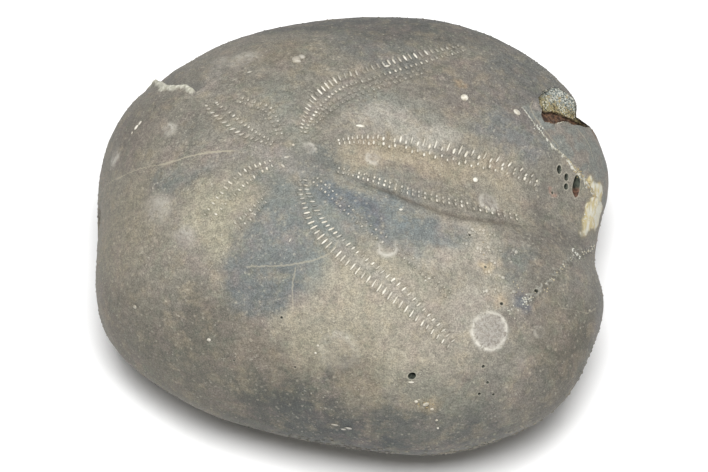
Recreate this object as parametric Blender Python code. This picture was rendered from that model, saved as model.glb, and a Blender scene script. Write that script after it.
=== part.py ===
"""A fossil heart urchin: the stone test of a large spatangoid sea urchin, chipped at the front and rear.

It is one solid. +X is the front, where the groove of the front petal notches the outline. +Z is up,
and the flat of the underside rests on z = 0, with the outline centred on the Z axis.
Sizes are in millimetres and become metres through MM. Plan points are (x, y) on the upper side.
"""

import math

import bmesh
import bpy
import numpy as np
from mathutils import Matrix, Vector, noise
from mathutils.bvhtree import BVHTree

MM = 0.001
NAME = "sea_urchin_test"

# Outline from above: the radius every 22.5 degrees, from the front round by the +Y side.
OUTLINE = (
    38.2, 38.3, 39.5, 38.4,  # front, far shoulder
    36.5, 36.7, 38.6, 41.3,  # far side, far rear corner
    39.4, 40.0, 35.7, 32.3,  # rear face, near rear corner
    32.2, 35.3, 37.7, 37.1,  # near side, near shoulder
)
OUTLINE_CENTRE = (1.93, -1.86)
NOTCH_DEPTH = 2.4
NOTCH_HALF_ANGLE = 0.224

# Profile: the crown above the widest outline, and the rounding below it to the flat.
HEIGHT = 41.0
WIDEST_HEIGHT = 15.6
WIDEST_RISE_TO_FRONT = 1.7
APEX = (-7.57, -1.56)
CROWN_OUTWARD = 1.74
CROWN_OUTWARD_TO_FRONT = -0.52
CROWN_UPWARD = 2.4
UNDER_OUTWARD = 2.1
UNDER_UPWARD = 1.75
FLAT_SHARE = 0.40
FLAT_CENTRE = (0.83, -1.86)
PROFILE_STEPS = 120
SPHERE_SUBDIVISIONS = 5

# Groove of the front petal, from near the apex down to the notch.
GROOVE_DEPTH = 2.3
GROOVE_START = 6.0
GROOVE_RUN = 34.0
GROOVE_HALF_WIDTH = 3.9
GROOVE_FLARE = 0.095
GROOVE_EDGE = 2.6

# The four paired petals lie in shallow hollows along these plan lines.
PETAL_HOLLOW_DEPTH = 0.4
PETAL_HOLLOW_HALF_WIDTH = 2.6
PETAL_LINES = (
    ((-6.5, 3.5), (-2.2, 11.0), (6.0, 16.5), (14.0, 22.0)),
    ((-5.5, -7.0), (-1.8, -12.0), (7.0, -19.8), (15.0, -24.6)),
    ((-11.4, -5.5), (-16.0, -8.8), (-20.0, -12.8)),
    ((-10.6, 1.8), (-15.0, 4.6), (-20.5, 8.4)),
)

# Unevenness of the test, with none on the flat.
LUMP_HEIGHT = 0.3
LUMP_SPACING = 14.0
FLAT_FADE = (0.5, 9.0)

# Pore zones: the plan points that a row of slits follows; the slit's length at the apex, at its
# longest and at the petal's end; and its slant in degrees from square across the row.
PORE_SPACING = 0.98
PORE_WIDTH = 0.5
PORE_DEPTH = 0.45
PORE_RISE = 0.25
PORE_ZONES = (
    (((-3.1, 1.1), (1.2, 1.3), (6.8, 1.3), (14.1, 1.2), (21.3, 1.8), (27.5, 2.1)), (0.6, 1.5, 0.7), -24),
    (((-2.5, -3.9), (4.2, -5.1), (10.1, -6.4), (18.7, -6.6), (24.4, -5.2)), (0.5, 0.9, 0.5), 20),
    (((-7.7, 2.4), (-7.1, 7.7), (-3.7, 12.1), (6.3, 17.8), (16.0, 24.4)), (0.6, 1.5, 0.6), 0),
    (((-5.7, 5.0), (-0.7, 10.3), (4.2, 14.2), (9.2, 17.0)), (0.5, 0.7, 0.5), 0),
    (((-7.1, -5.6), (-6.5, -9.3), (-2.4, -14.7), (3.5, -19.2), (15.4, -26.7)), (0.6, 1.6, 0.7), 0),
    (((-4.3, -6.7), (-1.3, -9.5), (5.3, -14.4), (11.9, -18.8), (16.8, -22.3)), (0.5, 0.7, 0.5), 0),
    (((-11.4, -8.2), (-12.8, -10.1), (-14.8, -11.5), (-17.0, -12.8)), (0.5, 0.8, 0.6), 0),
    (((-11.4, -3.6), (-14.4, -4.8), (-16.9, -6.5), (-19.2, -9.7)), (0.6, 1.2, 0.6), 0),
    (((-10.2, 1.6), (-11.1, 4.8), (-12.9, 6.4), (-16.0, 8.0)), (0.5, 0.9, 0.6), 0),
    (((-11.4, 0.0), (-14.1, 1.0), (-16.8, 2.7), (-20.1, 5.3), (-21.4, 8.0)), (0.6, 1.3, 0.6), 0),
)

# Flakes: the plan ends of the step that each leaves, the step's depth, the floor's tip in degrees
# and how far it reaches from the step.
FRONT_FLAKE = (((25.6, 12.4), (36.2, 4.4)), 0.55, 2.0, 13.0)
REAR_FLAKE = (((-30.6, 17.6), (-24.2, 9.8)), 0.95, 5.0, 9.0)
FLAKE_CLEARANCE = 9.0
FLAKE_SIDES = 22
FLAKE_SQUARENESS = 3.0
FLAKE_RAGGEDNESS = 0.16

# The hole broken into the far shoulder.
PIT_PLAN = (31.0, 17.4)
PIT_HALF_SIZES = (4.0, 3.6, 3.4)
PIT_ROUGHNESS = 0.5

# Borings: plan place, half length, half width and depth.
BORINGS = (
    ((29.9, 4.7), 0.60, 0.42, 1.6),
    ((31.1, 4.0), 0.60, 0.42, 1.6),
    ((31.3, 2.6), 0.55, 0.42, 1.6),
    ((32.7, 3.6), 1.25, 0.75, 2.4),
    ((9.9, -30.7), 0.60, 0.50, 1.6),
)

# Scar of a small animal that grew on the test: a low round rim.
SCAR_PLAN = (20.6, -23.8)
SCAR_RADIUS = 2.4
SCAR_RIM = 0.34

# Mouth on the underside and vent on the rear face.
MOUTH_PLAN = (22.5, -1.6)
MOUTH_HALF_SIZES = (2.3, 4.2, 1.9)
VENT_PLACE = (-1.6, 18.5)
VENT_HALF_SIZES = (1.5, 2.3, 2.9)

STONE_COLOUR = (0.205, 0.183, 0.155)
STONE_ROUGHNESS = 0.72


def smooth_step(value, low, high):
    """0 below low, 1 above high and an even ease between them."""
    share = min(max((value - low) / (high - low), 0.0), 1.0)
    return share * share * (3.0 - 2.0 * share)


def curve_value(a, b, c, d, t):
    """The Catmull-Rom curve between b and c, at t from 0 to 1."""
    return b + 0.5 * t * (c - a + t * (2 * a - 5 * b + 4 * c - d + t * (3 * (b - c) + d - a)))


def outline_radius(angle):
    """The outline's radius in one direction, with the notch at the front."""
    count = len(OUTLINE)
    place = (angle / math.tau * count) % count
    first = int(place)
    stations = [OUTLINE[(first + offset) % count] for offset in (-1, 0, 1, 2)]
    from_front = (angle + math.pi) % math.tau - math.pi
    notch = NOTCH_DEPTH * math.exp(-((from_front / NOTCH_HALF_ANGLE) ** 2))
    return curve_value(*stations, place - first) - notch


def profile(angle):
    """Points from the apex over the side and down to the middle of the flat, in one direction."""
    direction = np.array((math.cos(angle), math.sin(angle)))
    edge = np.array(OUTLINE_CENTRE) + outline_radius(angle) * direction
    widest = WIDEST_HEIGHT + WIDEST_RISE_TO_FRONT * direction[0]
    turn = np.linspace(0.0, math.pi / 2, PROFILE_STEPS)[:, None]
    outward = np.sin(turn) ** (2 / (CROWN_OUTWARD + CROWN_OUTWARD_TO_FRONT * direction[0]))
    upward = np.cos(turn).clip(0) ** (2 / CROWN_UPWARD)
    crown = np.hstack((APEX + (edge - APEX) * outward, widest + (HEIGHT - widest) * upward))
    outward = FLAT_SHARE + (1 - FLAT_SHARE) * np.sin(turn) ** (2 / UNDER_OUTWARD)
    upward = 1 - np.cos(turn).clip(0) ** (2 / UNDER_UPWARD)
    under = np.hstack((FLAT_CENTRE + (edge - FLAT_CENTRE) * outward, widest * upward))
    return np.vstack((crown, under[-2::-1], (*FLAT_CENTRE, 0.0)))


def point_on_test(direction):
    """Where a direction from the middle lands, with equal angles taking equal lengths of profile."""
    points = profile(math.atan2(direction.y, direction.x))
    lengths = np.linalg.norm(np.diff(points, axis=0), axis=1)
    travelled = np.concatenate(([0.0], np.cumsum(lengths)))
    wanted = travelled[-1] * math.acos(min(max(direction.z, -1.0), 1.0)) / math.pi
    return Vector([np.interp(wanted, travelled, points[:, axis]) for axis in range(3)])


def distance_to_line(point, line):
    """Distance in plan from a point to a line through plan points."""
    best = math.inf
    for start, end in zip(line, line[1:]):
        start, along = Vector(start), Vector(end) - Vector(start)
        share = min(max((point - start).dot(along) / along.length_squared, 0.0), 1.0)
        best = min(best, (point - start - along * share).length)
    return best


def relief(place):
    """Depth of the groove and of the petals' hollows below the plain crown, less the lumps."""
    ahead = place.x - APEX[0]
    depth = 0.0
    if ahead > 0:
        half_width = GROOVE_HALF_WIDTH + GROOVE_FLARE * ahead
        across = math.exp(-abs((place.y - APEX[1]) / half_width) ** GROOVE_EDGE)
        depth += GROOVE_DEPTH * smooth_step(ahead, GROOVE_START, GROOVE_START + GROOVE_RUN) * across
    if place.z > WIDEST_HEIGHT:
        nearest = min(distance_to_line(place.xy, line) for line in PETAL_LINES)
        depth += PETAL_HOLLOW_DEPTH * math.exp(-((nearest / PETAL_HOLLOW_HALF_WIDTH) ** 2))
    depth -= LUMP_HEIGHT * noise.noise(place / LUMP_SPACING)
    return depth * smooth_step(place.z, *FLAT_FADE)


def stone_material():
    material = bpy.data.materials.new("taupe_limestone")
    material.use_nodes = True
    shader = material.node_tree.nodes["Principled BSDF"]
    shader.inputs["Base Color"].default_value = (*STONE_COLOUR, 1.0)
    shader.inputs["Roughness"].default_value = STONE_ROUGHNESS
    shader.inputs["Metallic"].default_value = 0.0
    return material


def mesh_object(name, bm, collection):
    """A named object in a collection from a bmesh, which is freed."""
    mesh = bpy.data.meshes.new(name)
    bm.to_mesh(mesh)
    bm.free()
    made = bpy.data.objects.new(name, mesh)
    collection.objects.link(made)
    return made


def build_test(collection):
    """The whole test as one closed mesh, in millimetres until the end."""
    bm = bmesh.new()
    bmesh.ops.create_icosphere(bm, subdivisions=SPHERE_SUBDIVISIONS, radius=1.0)
    for vertex in bm.verts:
        vertex.co = point_on_test(vertex.co.normalized())
    bm.normal_update()
    sunk = [vertex.co - vertex.normal * relief(vertex.co) for vertex in bm.verts]
    for vertex, place in zip(bm.verts, sunk):
        vertex.co = place
    bmesh.ops.scale(bm, vec=(MM, MM, MM), verts=bm.verts)
    test = mesh_object(NAME, bm, collection)
    test.data.shade_smooth()
    test.data.materials.append(stone_material())
    return test


class Surface:
    """The uncut test, for finding places on it."""

    def __init__(self, test):
        points = [vertex.co / MM for vertex in test.data.vertices]
        self.tree = BVHTree.FromPolygons(points, [face.vertices for face in test.data.polygons])

    def hit(self, origin, direction):
        place, normal, _, _ = self.tree.ray_cast(Vector(origin), Vector(direction))
        return place, normal

    def above(self, plan):
        return self.hit((*plan, 2 * HEIGHT), (0, 0, -1))


def frame_at(place, normal, towards, sizes=(1, 1, 1)):
    """A matrix in metres whose Z is the surface normal and whose X leans towards a direction."""
    across = (towards - normal * towards.dot(normal)).normalized()
    side = normal.cross(across)
    turned = Matrix((across, side, normal)).transposed().to_4x4()
    return Matrix.Translation(place * MM) @ turned @ Matrix.Diagonal((*[MM * size for size in sizes], 1))


def pores_along(surface, path, spacing):
    """Places, normals and directions of travel along a smooth row, one for each pore."""
    ends = [path[0], *path, path[-1]]
    dense = []
    for four in zip(ends, ends[1:], ends[2:], ends[3:]):
        for step in range(24):
            plan = [curve_value(*values, step / 24) for values in zip(*four)]
            dense.append(surface.above(plan))
    travelled = 0.0
    chosen = []
    for before, after in zip(dense, dense[1:]):
        stretch = after[0] - before[0]
        if travelled >= spacing * len(chosen):
            chosen.append((before[0], before[1], stretch.normalized()))
        travelled += stretch.length
    return chosen


def pore_cutters(surface, collection):
    """One slit for each pair of pores, as four-sided pits pressed into the test."""
    bm = bmesh.new()
    swell = (PORE_DEPTH + PORE_RISE) / PORE_DEPTH
    for path, (start, longest, end), slant in PORE_ZONES:
        pores = pores_along(surface, path, PORE_SPACING)
        for index, (place, normal, travel) in enumerate(pores):
            share = index / max(len(pores) - 1, 1)
            tail = start if share < 0.5 else end
            length = tail + (longest - tail) * math.sin(math.pi * share) ** 0.6
            across = Matrix.Rotation(math.radians(slant), 3, normal) @ normal.cross(travel)
            sizes = (swell * length / 2, swell * PORE_WIDTH / 2, 1)
            place = place + normal * (PORE_RISE - PORE_DEPTH) / 2
            bmesh.ops.create_cone(
                bm, cap_ends=True, segments=4, radius1=0.0, radius2=1.0, depth=PORE_DEPTH + PORE_RISE,
                matrix=frame_at(place, normal, across, sizes))
    bmesh.ops.remove_doubles(bm, verts=bm.verts, dist=1e-7)
    return mesh_object("pore_cutters", bm, collection)


def flake_cutter(name, surface, flake, collection):
    """A ragged, round-cornered block: one side stands on the step and its underside is the floor."""
    step, depth, tip, reach = flake
    (first, first_normal), (last, last_normal) = (surface.above(plan) for plan in step)
    along = (last - first).normalized()
    up = first_normal + last_normal
    up = (up - along * up.dot(along)).normalized()
    into = along.cross(up)
    if into.y < 0:
        into = -into
    floor_up = Matrix.Rotation(math.radians(tip), 3, into.cross(up)) @ up
    floor_into = Matrix.Rotation(math.radians(tip), 3, into.cross(up)) @ into
    bm = bmesh.new()
    bmesh.ops.create_cone(bm, cap_ends=True, segments=FLAKE_SIDES, radius1=1.0, radius2=1.0, depth=1.0)
    for vertex in bm.verts:
        square = (abs(vertex.co.x) ** FLAKE_SQUARENESS + abs(vertex.co.y) ** FLAKE_SQUARENESS)
        ragged = 1 + FLAKE_RAGGEDNESS * noise.noise(Vector((*vertex.co.xy, step[0][0])) * 2.0)
        vertex.co.xy *= ragged * square ** (-1 / FLAKE_SQUARENESS)
    centre = (first + last) / 2 + floor_into * reach / 2 - up * depth + floor_up * FLAKE_CLEARANCE / 2
    sizes = (reach / 2, (last - first).length / 2, FLAKE_CLEARANCE)
    bmesh.ops.transform(bm, matrix=frame_at(centre, floor_up, floor_into, sizes), verts=bm.verts)
    return mesh_object(name, bm, collection)


def pit_cutter(surface, collection):
    """A lumpy ball for the hole broken into the far shoulder."""
    place, normal = surface.above(PIT_PLAN)
    bm = bmesh.new()
    bmesh.ops.create_icosphere(bm, subdivisions=3, radius=1.0)
    for vertex in bm.verts:
        vertex.co *= 1 + PIT_ROUGHNESS * noise.noise(vertex.co * 1.7 + Vector((3, 1, 7)))
    bmesh.ops.transform(bm, matrix=frame_at(place, normal, Vector((0, 1, 0)), PIT_HALF_SIZES), verts=bm.verts)
    return mesh_object("pit_cutter", bm, collection)


def boring_cutters(surface, collection):
    """Oval holes left by boring animals, narrower at the bottom."""
    bm = bmesh.new()
    for plan, half_length, half_width, depth in BORINGS:
        place, normal = surface.above(plan)
        matrix = frame_at(place, normal, Vector((0, 1, 0)), (half_length, half_width, 1))
        bmesh.ops.create_cone(
            bm, cap_ends=True, segments=8, radius1=0.6, radius2=1.1, depth=2 * depth, matrix=matrix)
    return mesh_object("boring_cutters", bm, collection)


def hollow_cutter(name, place, normal, half_sizes, collection):
    """A rounded dish: half_sizes are its depth and its two half widths, first the sideways one."""
    depth, sideways, upright = half_sizes
    bm = bmesh.new()
    bmesh.ops.create_uvsphere(bm, u_segments=14, v_segments=8, radius=1.0)
    matrix = frame_at(place, normal, Vector((0, 1, 0)), (sideways, upright, depth))
    bmesh.ops.transform(bm, matrix=matrix, verts=bm.verts)
    return mesh_object(name, bm, collection)


def scar_rim(surface, collection):
    """The low ring that stands on the near shoulder."""
    place, normal = surface.above(SCAR_PLAN)
    bpy.ops.mesh.primitive_torus_add(
        major_segments=20, minor_segments=6, major_radius=SCAR_RADIUS, minor_radius=SCAR_RIM)
    rim = bpy.context.object
    rim.name = "scar_rim"
    rim.data.transform(frame_at(place - normal * SCAR_RIM * 0.4, normal, Vector((0, 1, 0))))
    for holder in list(rim.users_collection):
        holder.objects.unlink(rim)
    collection.objects.link(rim)
    return rim


def combine(test, helper, operation):
    """A Boolean on the test, with the helper kept out of renders."""
    helper.hide_render = True
    helper.display_type = "WIRE"
    modifier = test.modifiers.new(helper.name, "BOOLEAN")
    modifier.operation = operation
    modifier.solver = "EXACT"
    modifier.object = helper


def main():
    for old in list(bpy.data.objects):
        bpy.data.objects.remove(old)
    parts = bpy.data.collections.new("fossil_sea_urchin")
    cutters = bpy.data.collections.new("cutters")
    bpy.context.scene.collection.children.link(parts)
    bpy.context.scene.collection.children.link(cutters)

    test = build_test(parts)
    surface = Surface(test)
    combine(test, scar_rim(surface, cutters), "UNION")
    combine(test, flake_cutter("front_flake_cutter", surface, FRONT_FLAKE, cutters), "DIFFERENCE")
    combine(test, flake_cutter("rear_flake_cutter", surface, REAR_FLAKE, cutters), "DIFFERENCE")
    combine(test, pit_cutter(surface, cutters), "DIFFERENCE")
    combine(test, boring_cutters(surface, cutters), "DIFFERENCE")
    mouth_place, mouth_normal = surface.hit((*MOUTH_PLAN, -HEIGHT), (0, 0, 1))
    mouth = hollow_cutter("mouth_cutter", mouth_place, mouth_normal, MOUTH_HALF_SIZES, cutters)
    combine(test, mouth, "DIFFERENCE")
    vent_place, vent_normal = surface.hit((-2 * HEIGHT, *VENT_PLACE), (1, 0, 0))
    vent = hollow_cutter("vent_cutter", vent_place, vent_normal, VENT_HALF_SIZES, cutters)
    combine(test, vent, "DIFFERENCE")
    combine(test, pore_cutters(surface, cutters), "DIFFERENCE")


main()
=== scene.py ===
"""The looks of a fossil heart urchin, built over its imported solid. Lengths are in millimetres unless said."""
import math

import bmesh
import bpy
import numpy as np
from mathutils import Euler, Matrix, Vector, kdtree, noise
from mathutils.bvhtree import BVHTree


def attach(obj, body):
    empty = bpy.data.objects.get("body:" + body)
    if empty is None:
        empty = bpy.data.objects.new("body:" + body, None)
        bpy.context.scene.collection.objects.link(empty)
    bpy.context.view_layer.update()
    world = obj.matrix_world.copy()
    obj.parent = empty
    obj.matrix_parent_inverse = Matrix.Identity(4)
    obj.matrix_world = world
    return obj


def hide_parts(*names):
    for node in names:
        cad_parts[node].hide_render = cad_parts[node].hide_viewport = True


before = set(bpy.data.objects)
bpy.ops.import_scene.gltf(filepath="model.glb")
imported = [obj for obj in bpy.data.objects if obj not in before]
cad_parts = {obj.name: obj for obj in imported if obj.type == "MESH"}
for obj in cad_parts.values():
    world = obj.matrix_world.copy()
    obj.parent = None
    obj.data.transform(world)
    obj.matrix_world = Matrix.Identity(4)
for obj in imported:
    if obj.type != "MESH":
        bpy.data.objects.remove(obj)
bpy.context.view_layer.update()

# ---------------------------------------------------------------------------------------------
# The test. The urchin's shell, turned to calcite and filled with hardened mud, is one stone.
# A sphere is laid over the outline and the profile that the solid has, and then made finer.
# ---------------------------------------------------------------------------------------------
MM = 0.001
OUTLINE = (
    38.2, 38.3, 39.5, 38.4,  # radius every 22.5 degrees: front, far shoulder
    36.5, 36.7, 38.6, 41.3,  # far side, far rear corner
    39.4, 40.0, 35.7, 32.3,  # rear face, near rear corner
    32.2, 35.3, 37.7, 37.1,  # near side, near shoulder
)
OUTLINE_CENTRE = np.array((1.93, -1.86))
NOTCH_DEPTH = 2.4
NOTCH_HALF_ANGLE = 0.224
HEIGHT = 41.0
WIDEST_HEIGHT = 15.6
WIDEST_RISE_TO_FRONT = 1.7
APEX = np.array((-7.57, -1.56))
CROWN_OUTWARD = 1.74
CROWN_OUTWARD_TO_FRONT = -0.52
CROWN_UPWARD = 2.4
UNDER_OUTWARD = 2.1
UNDER_UPWARD = 1.75
FLAT_SHARE = 0.40
FLAT_CENTRE = np.array((0.83, -1.86))
PROFILE_STEPS = 120
SPHERE_SUBDIVISIONS = 7
ROWS_AT_ONCE = 4096


def curve_value(a, b, c, d, t):
    """The Catmull-Rom curve between b and c, at t from 0 to 1."""
    return b + 0.5 * t * (c - a + t * (2 * a - 5 * b + 4 * c - d + t * (3 * (b - c) + d - a)))


def smooth_step(value, low, high):
    """0 at low, 1 at high and an even ease between them; high may be under low."""
    share = np.clip((value - low) / (high - low), 0.0, 1.0)
    return share * share * (3.0 - 2.0 * share)


def outline_radius(angles):
    """The outline's radius in each direction, with the notch at the front."""
    place = (angles / math.tau * len(OUTLINE)) % len(OUTLINE)
    first = place.astype(int)
    stations = [np.take(OUTLINE, (first + offset) % len(OUTLINE)) for offset in (-1, 0, 1, 2)]
    from_front = (angles + math.pi) % math.tau - math.pi
    return curve_value(*stations, place - first) - NOTCH_DEPTH * np.exp(-((from_front / NOTCH_HALF_ANGLE) ** 2))


def profiles(angles):
    """For each direction, points from the apex over the side and down to the middle of the flat."""
    heading = np.stack((np.cos(angles), np.sin(angles)), 1)
    edge = (OUTLINE_CENTRE + outline_radius(angles)[:, None] * heading)[:, None, :]
    widest = (WIDEST_HEIGHT + WIDEST_RISE_TO_FRONT * heading[:, :1])[:, None, :]
    turn = np.linspace(0.0, math.pi / 2, PROFILE_STEPS)[None, :, None]
    bulge = (CROWN_OUTWARD + CROWN_OUTWARD_TO_FRONT * heading[:, :1])[:, None, :]
    outward = np.sin(turn) ** (2 / bulge)
    upward = np.cos(turn).clip(0) ** (2 / CROWN_UPWARD)
    crown = np.concatenate((APEX + (edge - APEX) * outward, widest + (HEIGHT - widest) * upward), 2)
    outward = FLAT_SHARE + (1 - FLAT_SHARE) * np.sin(turn) ** (2 / UNDER_OUTWARD)
    upward = 1 - np.cos(turn).clip(0) ** (2 / UNDER_UPWARD)
    under = np.concatenate((FLAT_CENTRE + (edge - FLAT_CENTRE) * outward, widest * upward), 2)
    middle = np.zeros((len(angles), 1, 3))
    middle[..., :2] = FLAT_CENTRE
    return np.concatenate((crown, under[:, -2::-1], middle), 1)


def points_on_test(directions):
    """Where each direction lands on the plain form, with equal angles taking equal lengths of profile."""
    placed = []
    for start in range(0, len(directions), ROWS_AT_ONCE):
        rows = directions[start:start + ROWS_AT_ONCE]
        points = profiles(np.arctan2(rows[:, 1], rows[:, 0]))
        lengths = np.linalg.norm(np.diff(points, axis=1), axis=2)
        travelled = np.concatenate((np.zeros((len(rows), 1)), np.cumsum(lengths, 1)), 1)
        wanted = travelled[:, -1] * np.arccos(rows[:, 2].clip(-1, 1)) / math.pi
        before = ((travelled < wanted[:, None]).sum(1) - 1).clip(0, lengths.shape[1] - 1)
        index = np.arange(len(rows))
        share = (wanted - travelled[index, before]) / lengths[index, before].clip(1e-9)
        low, high = points[index, before], points[index, before + 1]
        placed.append(low + (high - low) * share[:, None])
    return np.concatenate(placed)


def line_distance(points, line):
    """Each point's distance to a line through given points, and the share of it travelled there."""
    line = np.asarray(line, float)
    lengths = np.linalg.norm(np.diff(line, axis=0), axis=1)
    travelled = np.concatenate(([0.0], np.cumsum(lengths))) / lengths.sum()
    best = np.full(len(points), np.inf)
    share = np.zeros(len(points))
    for index, length in enumerate(lengths):
        along = (line[index + 1] - line[index]) / length
        reach = ((points - line[index]) @ along).clip(0, length)
        distance = np.linalg.norm(points - line[index] - reach[:, None] * along, axis=1)
        nearer = distance < best
        best[nearer] = distance[nearer]
        share[nearer] = travelled[index] + reach[nearer] / length * (travelled[index + 1] - travelled[index])
    return best, share


def roughness_at(points, spacing, seed=0.0):
    """Smooth noise from -1 to 1 with lumps about that far apart."""
    offset = Vector((seed, 2.3 * seed, 5.1 * seed))
    return np.array([noise.noise(Vector(point) / spacing + offset) for point in points])


# The front petal's groove, the hollows of the paired petals and the test's slight unevenness.
GROOVE_DEPTH = 2.3
GROOVE_START = 6.0
GROOVE_RUN = 34.0
GROOVE_HALF_WIDTH = 3.9
GROOVE_FLARE = 0.095
GROOVE_EDGE = 2.6
PETAL_HOLLOW_DEPTH = 0.4
PETAL_HOLLOW_HALF_WIDTH = 2.6
PETAL_LINES = (
    ((-6.5, 3.5), (-2.2, 11.0), (6.0, 16.5), (14.0, 22.0)),
    ((-5.5, -7.0), (-1.8, -12.0), (7.0, -19.8), (15.0, -24.6)),
    ((-11.4, -5.5), (-16.0, -8.8), (-20.0, -12.8)),
    ((-10.6, 1.8), (-15.0, 4.6), (-20.5, 8.4)),
)
LUMP_HEIGHT = 0.3
LUMP_SPACING = 14.0
FLAT_FADE = (0.5, 9.0)


def broad_relief(points):
    """How far each point of the plain form lies below it once the groove and hollows are sunk."""
    ahead = points[:, 0] - APEX[0]
    across = np.abs(points[:, 1] - APEX[1]) / (GROOVE_HALF_WIDTH + GROOVE_FLARE * ahead.clip(0))
    depth = GROOVE_DEPTH * smooth_step(ahead, GROOVE_START, GROOVE_START + GROOVE_RUN)
    depth *= np.exp(-(across ** GROOVE_EDGE)) * (ahead > 0)
    nearest = np.min([line_distance(points[:, :2], line)[0] for line in PETAL_LINES], axis=0)
    hollow = PETAL_HOLLOW_DEPTH * np.exp(-((nearest / PETAL_HOLLOW_HALF_WIDTH) ** 2))
    depth += hollow * (points[:, 2] > WIDEST_HEIGHT)
    depth -= LUMP_HEIGHT * roughness_at(points, LUMP_SPACING)
    return depth * smooth_step(points[:, 2], *FLAT_FADE)


def coordinates(bm):
    return np.array([vertex.co[:] for vertex in bm.verts])


def outward_normals(bm, points):
    """Vertex normals of the mesh when its vertices are at these points."""
    kept = coordinates(bm)
    for vertex, point in zip(bm.verts, points):
        vertex.co = point
    bm.normal_update()
    normals = np.array([vertex.normal[:] for vertex in bm.verts])
    for vertex, point in zip(bm.verts, kept):
        vertex.co = point
    return normals


def shaped(bm):
    """Where the vertices of a unit sphere land on the test, with its groove and hollows, and the normals there."""
    plain = points_on_test(coordinates(bm))
    points = plain - outward_normals(bm, plain) * broad_relief(plain)[:, None]
    return points, outward_normals(bm, points)


sphere = bmesh.new()
bmesh.ops.create_icosphere(sphere, subdivisions=SPHERE_SUBDIVISIONS, radius=1.0)
sunk, _ = shaped(sphere)
ground = BVHTree.FromPolygons([Vector(point) for point in sunk], [[v.index for v in f.verts] for f in sphere.faces])


def on_test(plan):
    """The place on the upper side at a plan point, and the normal there; beyond the rim, the nearest place."""
    place, normal, _, _ = ground.ray_cast(Vector((*plan, 2 * HEIGHT)), Vector((0, 0, -1)))
    if place is None:
        place, normal, _, _ = ground.find_nearest(Vector((*plan, HEIGHT / 2)))
    return place, normal


def line_on_test(path, step=0.5):
    """Points every step along a smooth line over plan points, on the test."""
    ends = [path[0], *path, path[-1]]
    dense = []
    for four in zip(ends, ends[1:], ends[2:], ends[3:]):
        count = max(2, int(math.dist(four[1], four[2]) / step))
        dense += [on_test([curve_value(*values, k / count) for values in zip(*four)]) for k in range(count)]
    return dense + [on_test(path[-1])]


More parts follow.
